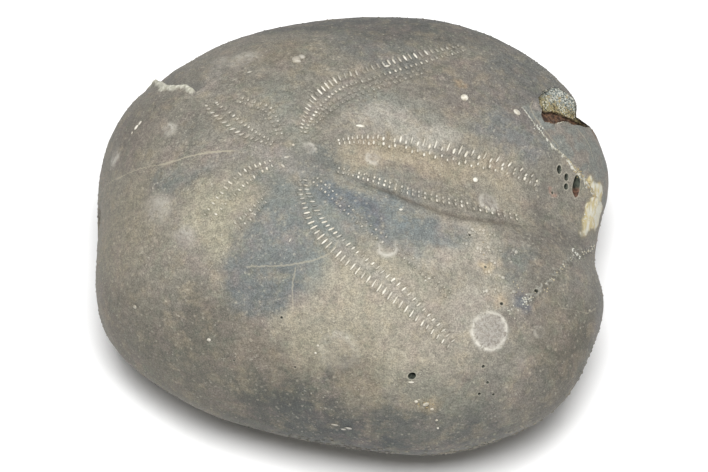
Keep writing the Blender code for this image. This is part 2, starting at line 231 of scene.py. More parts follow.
# ---------------------------------------------------------------------------------------------
# Pores. Tube feet came out through paired slits in the petals; white calcite fills them.
# Each row has its long outer slits and, nearer the petal's middle, its short inner ones.
# ---------------------------------------------------------------------------------------------
PORE_SPACINGS = (0.68, 0.9, 0.98, 1.02)
PORE_ROWS = (
    # plan path of the outer slits; their lengths and how far the inner slits lie from them, along the row;
    # the side the inner slits are on (1 is left of travel), their length; the outer slits' slant at the
    # start and end and the inner slits'; whether long and short slits alternate; how white the calcite is
    dict(path=((-1.9, 1.0), (2.4, 2.3), (10.3, 3.1), (18.0, 3.3), (22.0, 3.2), (27.4, 2.4)),
         lengths=(0.4, 0.9, 1.4, 1.45, 1.1, 0.6), apart=(0.5, 1.35, 2.0, 2.15, 1.6, 1.0), side=-1, inner=0.5,
         slants=(-10, -24), inner_slant=-8, alternate=True, bright=(0.7, 1.0, 1.0, 1.0, 0.7)),
    dict(path=((-1.7, -4.3), (1.9, -4.8), (9.3, -6.0), (17.7, -5.8), (24.9, -5.2)),
         lengths=(0.35, 0.5, 0.5, 0.4), apart=(0.7, 0.75, 0.75, 0.7), side=1, inner=0.4,
         slants=(10, 15), inner_slant=0, alternate=False, bright=(0.6, 1.0, 0.7, 0.6, 0.85, 0.5)),
    dict(path=((-7.3, 2.0), (-7.0, 4.6), (-5.7, 8.7), (-2.8, 12.6), (1.0, 14.9), (7.2, 19.0), (14.9, 24.1)),
         lengths=(0.35, 1.1, 1.35, 0.9, 1.1, 0.9, 0.4), apart=(0.6, 1.5, 1.8, 1.9, 1.8, 1.5, 1.2), side=-1, inner=0.45,
         slants=(-26, 10), inner_slant=0, alternate=False, bright=(0.6, 1.0, 1.0, 0.6, 0.3, 0.85, 0.75, 0.5, 0.3)),
    dict(path=((-5.6, 3.4), (-4.4, 4.9), (-1.4, 8.2), (4.1, 12.0), (10.9, 17.0)),
         lengths=(0.3, 0.4, 0.3), apart=(0.8, 1.0, 0.8), side=1, inner=0.3,
         slants=(0, 0), inner_slant=0, alternate=False, bright=(0.3, 0.2, 0.35, 0.2)),
    dict(path=((-7.0, -6.1), (-6.6, -8.8), (-4.4, -13.5), (0.7, -18.0), (7.8, -22.4), (15.2, -27.0)),
         lengths=(0.4, 0.9, 1.3, 1.35, 1.3, 1.1, 0.6), apart=(0.7, 1.6, 2.1, 2.25, 2.1, 1.5, 1.0), side=1, inner=0.75,
         slants=(-4, 10), inner_slant=-13, alternate=False, bright=(0.5, 1.0, 1.0, 0.95, 0.9, 0.7)),
    dict(path=((-5.1, -6.2), (-3.0, -7.9), (2.6, -12.8), (7.8, -16.0), (14.3, -20.7)),
         lengths=(0.3, 0.4, 0.3), apart=(0.8, 1.0, 0.8), side=1, inner=0.3,
         slants=(0, 0), inner_slant=0, alternate=False, bright=(0.7, 0.5, 0.3, 0.3)),
    dict(path=((-12.3, -9.2), (-13.2, -10.1), (-14.7, -11.6), (-16.6, -13.2)),
         lengths=(0.4, 0.65, 0.5), apart=(0.8, 1.1, 0.9), side=1, inner=0.4,
         slants=(0, 0), inner_slant=0, alternate=False, bright=(0.4, 0.7, 0.5)),
    dict(path=((-11.5, -3.3), (-15.3, -5.0), (-18.0, -7.9), (-20.5, -11.2)),
         lengths=(0.4, 0.75, 0.7, 0.4), apart=(0.8, 1.8, 1.6, 1.2), side=1, inner=0.45,
         slants=(10, 0), inner_slant=0, alternate=False, bright=(0.8, 0.9, 0.7, 0.6)),
    dict(path=((-10.1, 1.6), (-10.5, 3.1), (-12.0, 6.2), (-14.7, 7.6), (-16.6, 8.5)),
         lengths=(0.3, 0.4, 0.6, 0.5), apart=(0.7, 0.9, 0.8), side=1, inner=0.3,
         slants=(0, 0), inner_slant=0, alternate=False, bright=(0.6, 0.5, 0.35)),
    dict(path=((-11.5, -0.5), (-15.6, 1.2), (-18.3, 3.6), (-20.8, 6.4), (-21.4, 7.8)),
         lengths=(0.4, 0.8, 0.85, 0.8, 0.5), apart=(0.6, 1.7, 1.8, 1.5), side=-1, inner=0.5,
         slants=(-35, -28), inner_slant=0, alternate=False, bright=(0.7, 0.6, 0.7, 0.55)),
)
PORE_WIDTH = 0.31
PORE_STRETCH = 1.18
SHORT_SLIT = 0.62
SHORT_SLIT_SET_IN = 0.45


def along_row(values, share):
    """The value at a share of a row's length, from values spaced evenly along it."""
    return float(np.interp(share, np.linspace(0, 1, len(values)), values))


def pores_in_row(row):
    """(place, normal, across, length, width, brightness) of each slit in a double row."""
    dense = line_on_test(row["path"], 0.1)
    total = sum((b[0] - a[0]).length for a, b in zip(dense, dense[1:]))
    found, travelled, index, following = [], 0.0, 0, 0.0
    for (place, normal), (after, _) in zip(dense, dense[1:]):
        if travelled >= following:
            share = travelled / total
            following += along_row(PORE_SPACINGS, share)
            length, apart = along_row(row["lengths"], share), along_row(row["apart"], share)
            wide, inward, bright = PORE_WIDTH, 0.0, along_row(row["bright"], share)
            if row["alternate"] and share > 0.15 and index % 2:
                length, wide = length * SHORT_SLIT, wide * 1.15
                inward = SHORT_SLIT_SET_IN * min(1.0, 3 * share)
            across = normal.cross((after - place).normalized()).normalized()
            wobble = noise.noise(place * 1.3)
            for offset, size, slant in (
                (inward, length * (1 + 0.25 * wobble), along_row(row["slants"], share)),
                (max(apart - inward, inward + 0.6), row["inner"] * (1 + 0.4 * wobble), row["inner_slant"]),
            ):
                spot, upright = on_test((place + across * row["side"] * offset).xy)
                leaning = Matrix.Rotation(math.radians(slant), 3, normal) @ across
                found.append((spot, upright, leaning, size * PORE_STRETCH, wide, bright))
            index += 1
        travelled += (after - place).length
    return found


pores = [pore for row in PORE_ROWS for pore in pores_in_row(row)]

# ---------------------------------------------------------------------------------------------
# Breaks and veins. Flakes came off both shoulders, a hole broke into the front one, and cracks in
# the buried test healed as veins of white calcite.
# ---------------------------------------------------------------------------------------------
HOLE_OUTLINE = (
    (26.7, 16.2), (27.3, 17.8), (28.1, 19.1), (29.3, 20.6), (30.8, 20.9), (32.2, 21.2), (32.6, 18.2), (33.0, 16.6),
    (34.4, 16.1), (34.2, 15.0), (31.9, 13.7), (30.7, 13.5), (29.7, 12.5), (28.7, 12.2), (27.9, 12.1), (27.4, 13.1),
)
HOLE_FLOOR_EDGE = ((25.6, 16.4), (27.0, 15.9), (28.3, 14.6), (29.9, 15.5), (31.4, 15.6), (32.6, 15.9), (36.0, 16.6))
HOLE_WAY_IN = np.array((-0.21, 0.42, -0.88))
HOLE_FAR_WALL = (0.5, 2.6)
HOLE_FLOOR_DEPTH = 3.7
HOLE_NICK = (35.3, 15.4, 21.8)
VEIN = (
    (24.0, 13.7), (25.1, 12.2), (26.3, 10.5), (28.0, 8.8), (29.3, 7.6),
    (30.9, 7.0), (32.3, 6.0), (33.9, 5.3), (34.9, 4.6), (35.8, 4.1),
)
FRONT_FLAKE = (*VEIN, (39.5, 4.4), (40.0, 12.0), (37.5, 16.0), (31.9, 13.9), (29.7, 12.6), (27.6, 13.2), (26.2, 15.0))
FRONT_FLAKE_DEPTH = 0.4
CRACK = (
    (35.5, -1.3, 18.0), (35.0, -4.0, 21.0), (32.6, -8.4, 26.4), (30.4, -12.2, 28.5),
    (28.3, -15.3, 29.4), (25.8, -18.6, 30.0), (24.8, -20.0, 30.1),
)
LEDGE = ((-29.9, 18.2), (-28.6, 15.7), (-27.5, 13.6), (-26.0, 12.6), (-24.5, 12.2), (-23.0, 10.4))
REAR_FLAKE = (*LEDGE, (-21.5, 12.0), (-21.5, 18.0), (-25.0, 22.0), (-30.0, 21.0))
REAR_FLAKE_DEPTH = 0.7
LEDGE_LIP = 0.25
LEDGE_KNOB = (-29.7, 17.0, 29.0)
HAIRLINES = (
    ((-37.2, 2.2), (-33.6, -0.2), (-26.7, -1.9), (-20.9, -1.4), (-15.8, -1.5)),
    ((-14.4, -18.6), (-8.7, -18.5), (-4.9, -17.8), (-2.4, -16.7), (-1.0, -14.4)),
    ((-7.0, -18.5), (-7.4, -20.6), (-7.2, -24.0)),
    ((32.4, 13.4), (34.5, 11.4), (35.2, 9.4)),
    ((25.9, 15.4), (25.6, 14.2), (26.3, 12.5), (27.5, 10.9), (28.9, 9.3), (30.3, 8.2)),
    ((30.4, -17.8), (34.6, -16.2), (36.0, -14.3)),
)
BORINGS = (
    # place on the upper side, radii across and along the slope, depth
    ((30.0, 4.8), (0.36, 0.58), 1.2),
    ((31.1, 4.25), (0.38, 0.46), 1.1),
    ((31.1, 3.0), (0.38, 0.42), 1.1),
    ((32.6, 3.7), (0.68, 1.5), 1.8),
    ((29.1, 1.25), (0.2, 0.2), 0.8),
    ((9.9, -30.7), (0.5, 0.45), 1.1),
    ((19.7, -15.2), (0.16, 0.16), 0.5),
    ((22.2, -19.9), (0.2, 0.2), 0.5),
    ((19.9, -28.3), (0.2, 0.2), 0.5),
    ((20.6, -29.8), (0.18, 0.18), 0.5),
    ((19.5, -31.1), (0.2, 0.2), 0.5),
    ((21.5, -30.7), (0.16, 0.16), 0.5),
    ((27.1, -16.6), (0.35, 0.25), 0.7),
    ((-8.8, -24.6), (0.16, 0.16), 0.4),
    ((-15.5, -28.0), (0.15, 0.15), 0.4),
    ((-6.7, -29.4), (0.15, 0.15), 0.4),
    ((-5.5, -31.5), (0.15, 0.15), 0.4),
    ((17.3, -10.8), (0.15, 0.15), 0.4),
)
RINGS = (
    # scars of things that grew on the test: plan place, radius, width and whiteness of the rim, whiteness
    # inside, and the heading where the rim is strongest
    ((20.8, -23.9), 2.6, 0.32, 1.0, 0.6, -125),
    ((20.7, -23.8), 2.5, 0.26, 0.9, 0.0, 20),
    ((19.9, -3.8), 1.3, 0.3, 0.8, 0.4, -110),
    ((27.7, -22.1), 0.8, 0.2, 0.35, 0.1, 180),
    ((3.2, -1.1), 0.9, 0.3, 0.6, 0.35, -120),
    ((5.8, -15.0), 1.25, 0.3, 0.7, 0.15, -90),
    ((-6.0, -1.0), 0.75, 0.3, 0.5, 0.3, 45),
    ((-0.6, -28.4), 2.6, 0.45, 0.4, 0.15, 90),
    ((-26.6, 3.9), 0.9, 0.4, 0.7, 0.5, 20),
    ((-34.7, 4.4), 1.1, 0.5, 0.8, 0.4, -90),
    ((-23.3, -13.9), 1.2, 0.6, 0.35, 0.3, 60),
    ((-16.4, 16.6), 1.7, 0.9, 0.4, 0.4, 100),
    ((-20.2, 17.0), 1.0, 0.7, 0.35, 0.3, 60),
    ((-27.5, -9.0), 1.5, 1.1, 0.4, 0.3, 40),
    ((24.9, -26.8), 0.7, 0.2, 0.3, 0.1, 0),
)
RING_HEIGHT = 0.16
MOUTH = (22.5, -1.6)
MOUTH_HALF_SIZES = (2.3, 4.2)
MOUTH_DEPTH = 1.9
VENT = (-1.6, 18.5)
VENT_HALF_SIZES = (2.3, 2.9)
VENT_DEPTH = 1.5


def depth_inside(plan, outline):
    """How far each plan point lies inside a closed outline, negative outside it."""
    ring = np.asarray([*outline, outline[0]], float)
    distance, _ = line_distance(plan, ring)
    crossings = np.zeros(len(plan), int)
    for (x0, y0), (x1, y1) in zip(ring, ring[1:]):
        if y0 != y1:
            spans = (y0 > plan[:, 1]) != (y1 > plan[:, 1])
            crossings += spans & (plan[:, 0] < x0 + (plan[:, 1] - y0) * (x1 - x0) / (y1 - y0))
    return np.where(crossings % 2, distance, -distance)


def on_the_test(path):
    """A path of plan points as points in space; a path already in space stays as it is."""
    return np.array([point if len(point) == 3 else on_test(point)[0][:] for point in path])


def side_of(points, line):
    """1 where a point is left of its nearest stretch of line, seen from above, and -1 where it is right."""
    line = np.asarray(line, float)[:, :2]
    best = np.full(len(points), np.inf)
    side = np.ones(len(points))
    for start, end in zip(line, line[1:]):
        along = end - start
        reach = ((points[:, :2] - start) @ along / (along @ along)).clip(0, 1)
        offset = points[:, :2] - start - reach[:, None] * along
        distance = np.hypot(*offset.T)
        cross = along[0] * (points[:, 1] - start[1]) - along[1] * (points[:, 0] - start[0])
        nearer = distance < best
        best[nearer], side[nearer] = distance[nearer], np.where(cross[nearer] >= 0, 1, -1)
    return side


LINE_REACH = 1.6


def line_marks(points, lines):
    """For the nearest of some lines: the signed distance to it, and 1 near it fading to 0 away from it."""
    nearest = np.full(len(points), np.inf)
    signed = np.full(len(points), LINE_REACH)
    strength = np.zeros(len(points))
    for line in lines:
        distance, share = line_distance(points, line)
        ends = smooth_step(share, 0.0, 0.06) * smooth_step(share, 1.0, 0.94)
        closer = distance < nearest
        nearest[closer] = distance[closer]
        signed[closer] = (distance * side_of(points, line))[closer]
        strength[closer] = (ends * smooth_step(distance, LINE_REACH, LINE_REACH / 2))[closer]
    return signed, strength


vein_line = on_the_test(VEIN)
crack_line = on_the_test(CRACK)
hairlines = [on_the_test(path) for path in HAIRLINES]
ledge_line = on_the_test(LEDGE)
borings = [(on_test(plan), radii, depth) for plan, radii, depth in BORINGS]


def walk(line, step):
    """Points every step along a line in space."""
    return [a + (b - a) * k for a, b in zip(line, line[1:]) for k in np.arange(0, 1, step / np.linalg.norm(b - a))]


# ---------------------------------------------------------------------------------------------
# The test is made finer where it has something fine to show, and then shaped in detail.
# ---------------------------------------------------------------------------------------------
FINE_SPACING = 0.4
FINE_REACHES = (1.3, 0.42)
FINEST_SPACING = 0.3
FINEST_REACH = 0.3


def refined(bm, tree, reach):
    """Halves each edge whose middle is near a fine feature."""
    placed, _ = shaped(bm)
    chosen = []
    for edge in bm.edges:
        a, b = (vertex.index for vertex in edge.verts)
        if tree.find(Vector((placed[a] + placed[b]) / 2))[2] < reach:
            chosen.append(edge)
    bmesh.ops.subdivide_edges(bm, edges=chosen, cuts=1, use_grid_fill=True)
    bmesh.ops.triangulate(bm, faces=[face for face in bm.faces if len(face.verts) > 3])
    for vertex in bm.verts:
        vertex.co.normalize()
    bm.verts.index_update()


def tree_of(points):
    tree = kdtree.KDTree(len(points))
    for index, point in enumerate(points):
        tree.insert(Vector(point), index)
    tree.balance()
    return tree


fine_points = []
for place, normal, across, length, _, _ in pores:
    count = max(1, round(length / FINE_SPACING))
    fine_points += [place + across * length * ((k + 0.5) / count - 0.5) for k in range(count)]
for line in (vein_line, crack_line, ledge_line, *hairlines):
    fine_points += walk(line, FINE_SPACING)
for (centre, radius, *_) in RINGS[:7]:
    turns = np.linspace(0, math.tau, int(math.tau * radius / FINE_SPACING), endpoint=False)
    fine_points += [on_test((centre[0] + radius * math.cos(turn), centre[1] + radius * math.sin(turn)))[0] for turn in turns]
finest_points = []
for (place, normal), radii, _ in borings:
    steps = np.arange(-max(radii) - 0.1, max(radii) + 0.2, FINEST_SPACING)
    finest_points += [on_test((place.x + dx, place.y + dy))[0] for dx in steps for dy in steps]
(left, near), (right, far) = np.min(HOLE_OUTLINE, axis=0), np.max(HOLE_OUTLINE, axis=0)
grid = np.array([(x, y) for x in np.arange(left - 1, right + 1, 0.4) for y in np.arange(near - 1, far + 1, 0.4)])
for spot, depth in zip(grid, depth_inside(grid, HOLE_OUTLINE)):
    if depth > -0.5:
        (finest_points if depth < 0.4 else fine_points).append(on_test(spot)[0])
finest_points = [point for point in finest_points if point is not None]
fine = tree_of([point for point in fine_points if point is not None] + finest_points)
for reach in FINE_REACHES:
    refined(sphere, fine, reach)
refined(sphere, tree_of(finest_points), FINEST_REACH)
print("faces", len(sphere.faces))

points, normals = shaped(sphere)
plan = points[:, :2]
upper_side = smooth_step(points[:, 2], 12.0, 17.0)
ragged = roughness_at(points, 0.9, 3.0)
coarse = roughness_at(points, 2.6, 5.0)
rise = np.zeros(len(points))
marks = {}

# Grain that is too small to matter to the outline.
GRAIN_HEIGHTS = (0.07, 0.045)
rise += GRAIN_HEIGHTS[0] * coarse + GRAIN_HEIGHTS[1] * ragged

# The front corner stands out a little low down, on either side of the notch.
SWELLS = (((31.0, -25.0, 15.0), 7.0, 0.9), ((36.8, -0.5, 17.5), 5.0, 0.7))
for place, reach, height in SWELLS:
    rise += height * np.exp(-(np.linalg.norm(points - place, axis=1) / reach) ** 2)

# Each slit lies in its own small trough.
TROUGH_DEPTH = 0.16
TROUGH_MARGIN = 0.16
slit_tree = tree_of([pore[0] for pore in pores])
slit_near = np.zeros(len(points))
for index, point in enumerate(points):
    if point[2] < WIDEST_HEIGHT:
        continue
    for _, slit, distance in slit_tree.find_n(Vector(point), 3):
        if distance > 1.6:
            continue
        place, normal, across, length, wide, _ = pores[slit]
        offset = Vector(point) - place
        out = offset.dot(across) / (length / 2 + TROUGH_MARGIN)
        side = offset.dot(normal.cross(across)) / (wide / 2 + TROUGH_MARGIN)
        slit_near[index] = max(slit_near[index], math.exp(-out ** 6 - abs(side) ** 3))
rise -= TROUGH_DEPTH * slit_near
marks["slit"] = slit_near

# The flakes leave a flat, lower face with a step round it; the rear one's step is a crust of calcite.
flake = depth_inside(plan, FRONT_FLAKE) + 0.12 * ragged
marks["facet"] = smooth_step(flake, -0.05, 0.3) * upper_side
from_vein, _ = line_distance(points, vein_line)
rise -= FRONT_FLAKE_DEPTH * marks["facet"] * smooth_step(from_vein, 9.0, 1.0)
flake = depth_inside(plan, REAR_FLAKE)
ledge_distance, ledge_share = line_distance(points, ledge_line)
marks["sunken"] = smooth_step(flake + 0.1 * ragged, 0.0, 0.25) * smooth_step(ledge_distance, 3.4, 0.8) * upper_side
rise -= REAR_FLAKE_DEPTH * marks["sunken"]
lip_width = 0.85 + 0.3 * np.cos(ledge_share * 12.5) + 0.55 * ragged - 0.5 * smooth_step(ledge_share, 0.75, 1.0)
lip = smooth_step(ledge_distance, lip_width + 0.15, lip_width - 0.15) * (flake < 0.15) * upper_side
lip *= smooth_step(ledge_share, 1.0, 0.95)
marks["lip"] = lip
rise += lip * (LEDGE_LIP * smooth_step(ledge_distance, 1.8, 0.0) + 0.12)
knob = np.linalg.norm(points - LEDGE_KNOB, axis=1)
rise += 0.35 * smooth_step(knob, 1.3, 0.2) * (flake < 0.2)

# The groove's near side drops in a sharp furrow along the front petal's near row.
FURROW = ((-1.0, -4.9), (4.2, -5.9), (10.1, -7.3), (14.4, -7.9), (18.7, -7.6), (24.4, -6.2), (29.0, -4.2))
FURROW_DEPTH = 0.32
furrow_line = np.array([place[:] for place, _ in line_on_test(FURROW, 0.8)])
furrow_distance, furrow_share = line_distance(points, furrow_line)
furrow = furrow_distance * side_of(points, furrow_line)
along_furrow = smooth_step(furrow_share, 0.0, 0.2) * smooth_step(furrow_share, 1.0, 0.6)
marks["furrow"] = np.exp(-((furrow / 0.5) ** 2)) * along_furrow
rise -= FURROW_DEPTH * marks["furrow"] * (1 + 0.6 * ragged)
rise += 0.25 * np.exp(-(((furrow + 1.1) / 0.8) ** 2)) * along_furrow * (furrow_distance < 3)

# Veins stand a little proud, and the open crack is a crumbling furrow.
VEIN_RIDGE = 0.08
CRACK_FURROW = 0.14
marks["vein_offset"], marks["vein_strength"] = line_marks(points, [vein_line])
wide_offset, wide_strength = line_marks(points, hairlines[:1])
thin_offset, thin_strength = line_marks(points, hairlines[1:])
marks["hair_offset"] = np.where(wide_strength > 0, wide_offset, thin_offset * 1.6)
marks["hair_strength"] = np.maximum(wide_strength, thin_strength * 0.65)
marks["crack_offset"], marks["crack_strength"] = line_marks(points, [crack_line])
_, vein_share = line_distance(points, vein_line)
marks["vein_offset"] /= 0.45 + 1.1 * smooth_step(vein_share, 0.0, 0.9)
rise += VEIN_RIDGE * np.exp(-((marks["vein_offset"] / 0.22) ** 2)) * marks["vein_strength"] * (1 + 0.8 * ragged)
crack_gap = marks["crack_offset"] + 0.25 * ragged
rise -= CRACK_FURROW * np.exp(-((crack_gap / 0.3) ** 2)) * marks["crack_strength"] * (0.6 + 0.8 * coarse)

# The mouth underneath and the vent in the rear face are hollows full of hardened mud.
def hollow(across, along, half_sizes, depth):
    return depth * np.sqrt((1 - (across / half_sizes[0]) ** 2 - (along / half_sizes[1]) ** 2).clip(0))


underneath = points[:, 2] < 4.0
mouth = hollow(points[:, 0] - MOUTH[0], points[:, 1] - MOUTH[1], MOUTH_HALF_SIZES, MOUTH_DEPTH) * underneath
vent = hollow(points[:, 1] - VENT[0], points[:, 2] - VENT[1], VENT_HALF_SIZES, VENT_DEPTH) * (points[:, 0] < -30)
rise -= mouth + vent
marks["mud"] = smooth_step(mouth, 0.0, 0.8) + smooth_step(vent, 0.0, 0.6)

# Borings are round-ended holes.
bored, bored_rim, bored_low = np.zeros((3, len(points)))
for (place, normal), (across, along), depth in borings:
    offset = points - np.array(place)
    upward = Vector((-0.25, 1, 0))
    slope = np.array(upward - normal * normal.dot(upward))
    slope /= np.linalg.norm(slope)
    sideways = np.cross(slope, np.array(normal))
    out = np.hypot(offset @ sideways / across, offset @ slope / along) + 0.15 * ragged
    near = np.linalg.norm(offset, axis=1) < 3.0
    deep = smooth_step(out, 1.05, 0.75) * near
    rise -= depth * deep
    bored = np.maximum(bored, smooth_step(out, 1.2, 1.05) * near)
    rim = 1 + 0.22 / across
    bored_rim = np.maximum(bored_rim, smooth_step(out, rim, 1.1) * near * min(1.0, across / 0.4))
    bored_low += smooth_step(offset @ slope, 0.2, -0.5) * near * (out < 1.3) * (along > 1)
marks["bored"] = bored
marks["bored_low"] = bored_low
marks["bored_rim"] = bored_rim

# Rings of calcite where things grew on the test.
marks["rim"], marks["scar"] = np.zeros(len(points)), np.zeros(len(points))
for centre, radius, width, rim_white, inside_white, heading in RINGS:
    place = np.array(on_test(centre)[0])
    away = np.linalg.norm(points - place, axis=1) + 0.12 * radius * coarse + 0.16 * ragged
    turned = np.arctan2(points[:, 1] - place[1], points[:, 0] - place[0]) - math.radians(heading)
    strongest = 0.55 + 0.45 * np.cos(turned)
    rim = np.exp(-(((away - radius) / width) ** 2)) * strongest * upper_side
    marks["rim"] = np.maximum(marks["rim"], rim * rim_white)
    marks["scar"] = np.maximum(marks["scar"], smooth_step(away, radius, radius - 0.3) * inside_white * upper_side)
rise += RING_HEIGHT * marks["rim"] * (1 + 0.8 * ragged)

# Nothing reaches below the flat that the stone rests on.
rise *= smooth_step(points[:, 2], 0.0, 2.5)
points = points + normals * rise[:, None]

# The hole: a far wall that slopes down, crusted with grains, and a deep floor under the near lip.
inside = depth_inside(plan, HOLE_OUTLINE) + 0.22 * ragged
floor_line = np.array(HOLE_FLOOR_EDGE)
floor_distance, _ = line_distance(plan, floor_line)
floor_side = -floor_distance * side_of(points, floor_line) + 0.25 * ragged
in_hole = smooth_step(inside, -0.05, 0.2) * upper_side
down_wall = smooth_step(-floor_side, 5.0, 0.0)
wall_depth = HOLE_FAR_WALL[0] + (HOLE_FAR_WALL[1] - HOLE_FAR_WALL[0]) * down_wall
wall_depth = wall_depth + 0.3 * coarse + 0.22 * ragged
on_floor = smooth_step(floor_side, -0.1, 0.25)
hole_depth = in_hole * (wall_depth * (1 - on_floor) + HOLE_FLOOR_DEPTH * on_floor)
points = points + hole_depth[:, None] * HOLE_WAY_IN
marks["hole"] = in_hole
marks["low_wall"] = in_hole * down_wall
marks["floor"] = in_hole * on_floor
nick = smooth_step(np.linalg.norm(points - HOLE_NICK, axis=1), 1.5, 0.6)
points = points - normals * (0.55 * nick)[:, None]
marks["nick"] = nick

# Past the hole the shoulder is broken off, along an edge that is plain from over the near side.
SHOULDER_ACROSS = np.array((0.999, 0.045, 0.0))
SHOULDER_UP = np.array((-0.038, 0.852, 0.522))
SHOULDER_FROM = np.array((0.44, -2.41, 19.7))
SHOULDER_EDGE = ((12.9, 36.9), (15.3, 36.1), (16.2, 34.9), (17.1, 33.6), (17.6, 32.8), (19.5, 33.0), (21.0, 32.7), (22.6, 32.0))
across_shoulder = (points - SHOULDER_FROM) @ SHOULDER_ACROSS
up_shoulder = (points - SHOULDER_FROM) @ SHOULDER_UP
heights, limits = np.array(SHOULDER_EDGE).T
limit = np.interp(up_shoulder, heights, limits) + 0.12 * ragged
beyond = np.where((up_shoulder > heights[0]) & (up_shoulder < heights[-1]), (across_shoulder - limit).clip(0), 0)
points = points - SHOULDER_ACROSS * beyond[:, None]
marks["broken"] = smooth_step(beyond, 0.0, 0.25)

# Clear calcite shows on the broken edge of the notch.
SPAR_LINE = ((34.7, 5.6, 24.4), (36.2, 5.4, 22.0), (36.2, 3.6, 21.6), (35.6, 2.0, 21.6), (34.6, -0.6, 22.6), (33.7, -3.0, 23.4))
spar_distance, spar_share = line_distance(points, SPAR_LINE)
spar_width = 0.7 + 1.6 * smooth_step(spar_share, 0.0, 0.4) - 1.7 * smooth_step(spar_share, 0.6, 1.0) + 0.3 * coarse + 0.5 * ragged
marks["spar"] = smooth_step(spar_distance, spar_width + 0.25, spar_width - 0.35)
points = points + normals * (marks["spar"] * (0.1 + 0.3 * np.abs(ragged) - 0.3 * np.abs(coarse)))[:, None]

# Where crumbs of calcite cling: along the veins and the crack, over the hole's wall and in a few patches.
CRUMB_PATCHES = (
    # place on the upper side, radius, density and whiteness
    ((26.9, 10.2), 0.9, 0.9, 0.9), ((25.8, -18.4), 0.9, 0.8, 0.75), ((24.6, -17.6), 0.6, 0.6, 0.6),
    ((23.7, -20.5), 0.9, 0.7, 0.7), ((32.9, -7.2), 0.8, 1.0, 1.0), ((28.4, -15.9), 0.5, 0.7, 0.6),
    ((24.0, -16.6), 0.6, 0.4, 0.6), ((12.2, -33.2), 0.9, 1.0, 0.3), ((13.6, -33.9), 0.3, 1.0, 0.6),
    ((10.6, -32.9), 0.3, 1.0, 0.6), ((18.8, -12.8), 2.2, 0.25, 0.4), ((34.0, 0.5), 1.0, 0.5, 0.8),
)
crumbs = np.exp(-((marks["vein_offset"] / 0.45) ** 2)) * marks["vein_strength"] * smooth_step(vein_share, 0.3, 0.6)
crumbs = np.maximum(crumbs, np.exp(-((marks["crack_offset"] / 0.35) ** 2)) * marks["crack_strength"] * 0.5)
crumbs = np.maximum(crumbs, marks["hole"] * (1 - 0.4 * marks["floor"]))
tint = 0.75 - 0.35 * smooth_step(vein_share, 0.4, 0.8) * marks["vein_strength"] - 0.12 * marks["crack_strength"]
tint = tint * (1 - marks["hole"]) + marks["hole"] * (0.85 - 0.7 * marks["floor"] - 0.4 * marks["low_wall"] + 0.6 * ragged)
for centre, radius, density, white in CRUMB_PATCHES:
    near = np.exp(-((np.linalg.norm(points - np.array(on_test(centre)[0]), axis=1) / radius) ** 2))
    tint = np.where(near * density > crumbs, white, tint)
    crumbs = np.maximum(crumbs, near * density)
marks["crumbs"] = (crumbs - 0.15).clip(0)
marks["crumb_tint"] = tint

# Where the small tubercles stand: everywhere but the breaks, the slits and the flat of the base.
near_slit = np.array([slit_tree.find(Vector(point))[2] for point in points])
bare = ("hole", "facet", "sunken", "lip", "bored", "broken", "spar")
clear = 1 - np.max([marks[name] for name in bare], axis=0)
clear *= 0.3 + 0.7 * smooth_step(roughness_at(points, 3.5, 9.0), -0.15, 0.2)
clear *= smooth_step(points[:, 2], 0.6, 2.0) * smooth_step(near_slit, 0.5, 0.9)
marks["tubercles"] = clear * (0.4 + 0.6 * smooth_step(points[:, 2], 36.0, 20.0))
rough_patch = np.exp(-(np.linalg.norm(plan - (18.6, -12.2), axis=1) / 3.2) ** 2)
low_front = smooth_step(points[:, 2], 19.0, 13.0) * (0.1 + 0.95 * smooth_step(points[:, 0] - points[:, 1], 18.0, 33.0))
low_front *= smooth_step(points[:, 2], 6.0, 11.0)
marks["tubercle_size"] = 0.6 + 0.5 * rough_patch + 0.2 * smooth_step(points[:, 2], 34.0, 22.0) + low_front

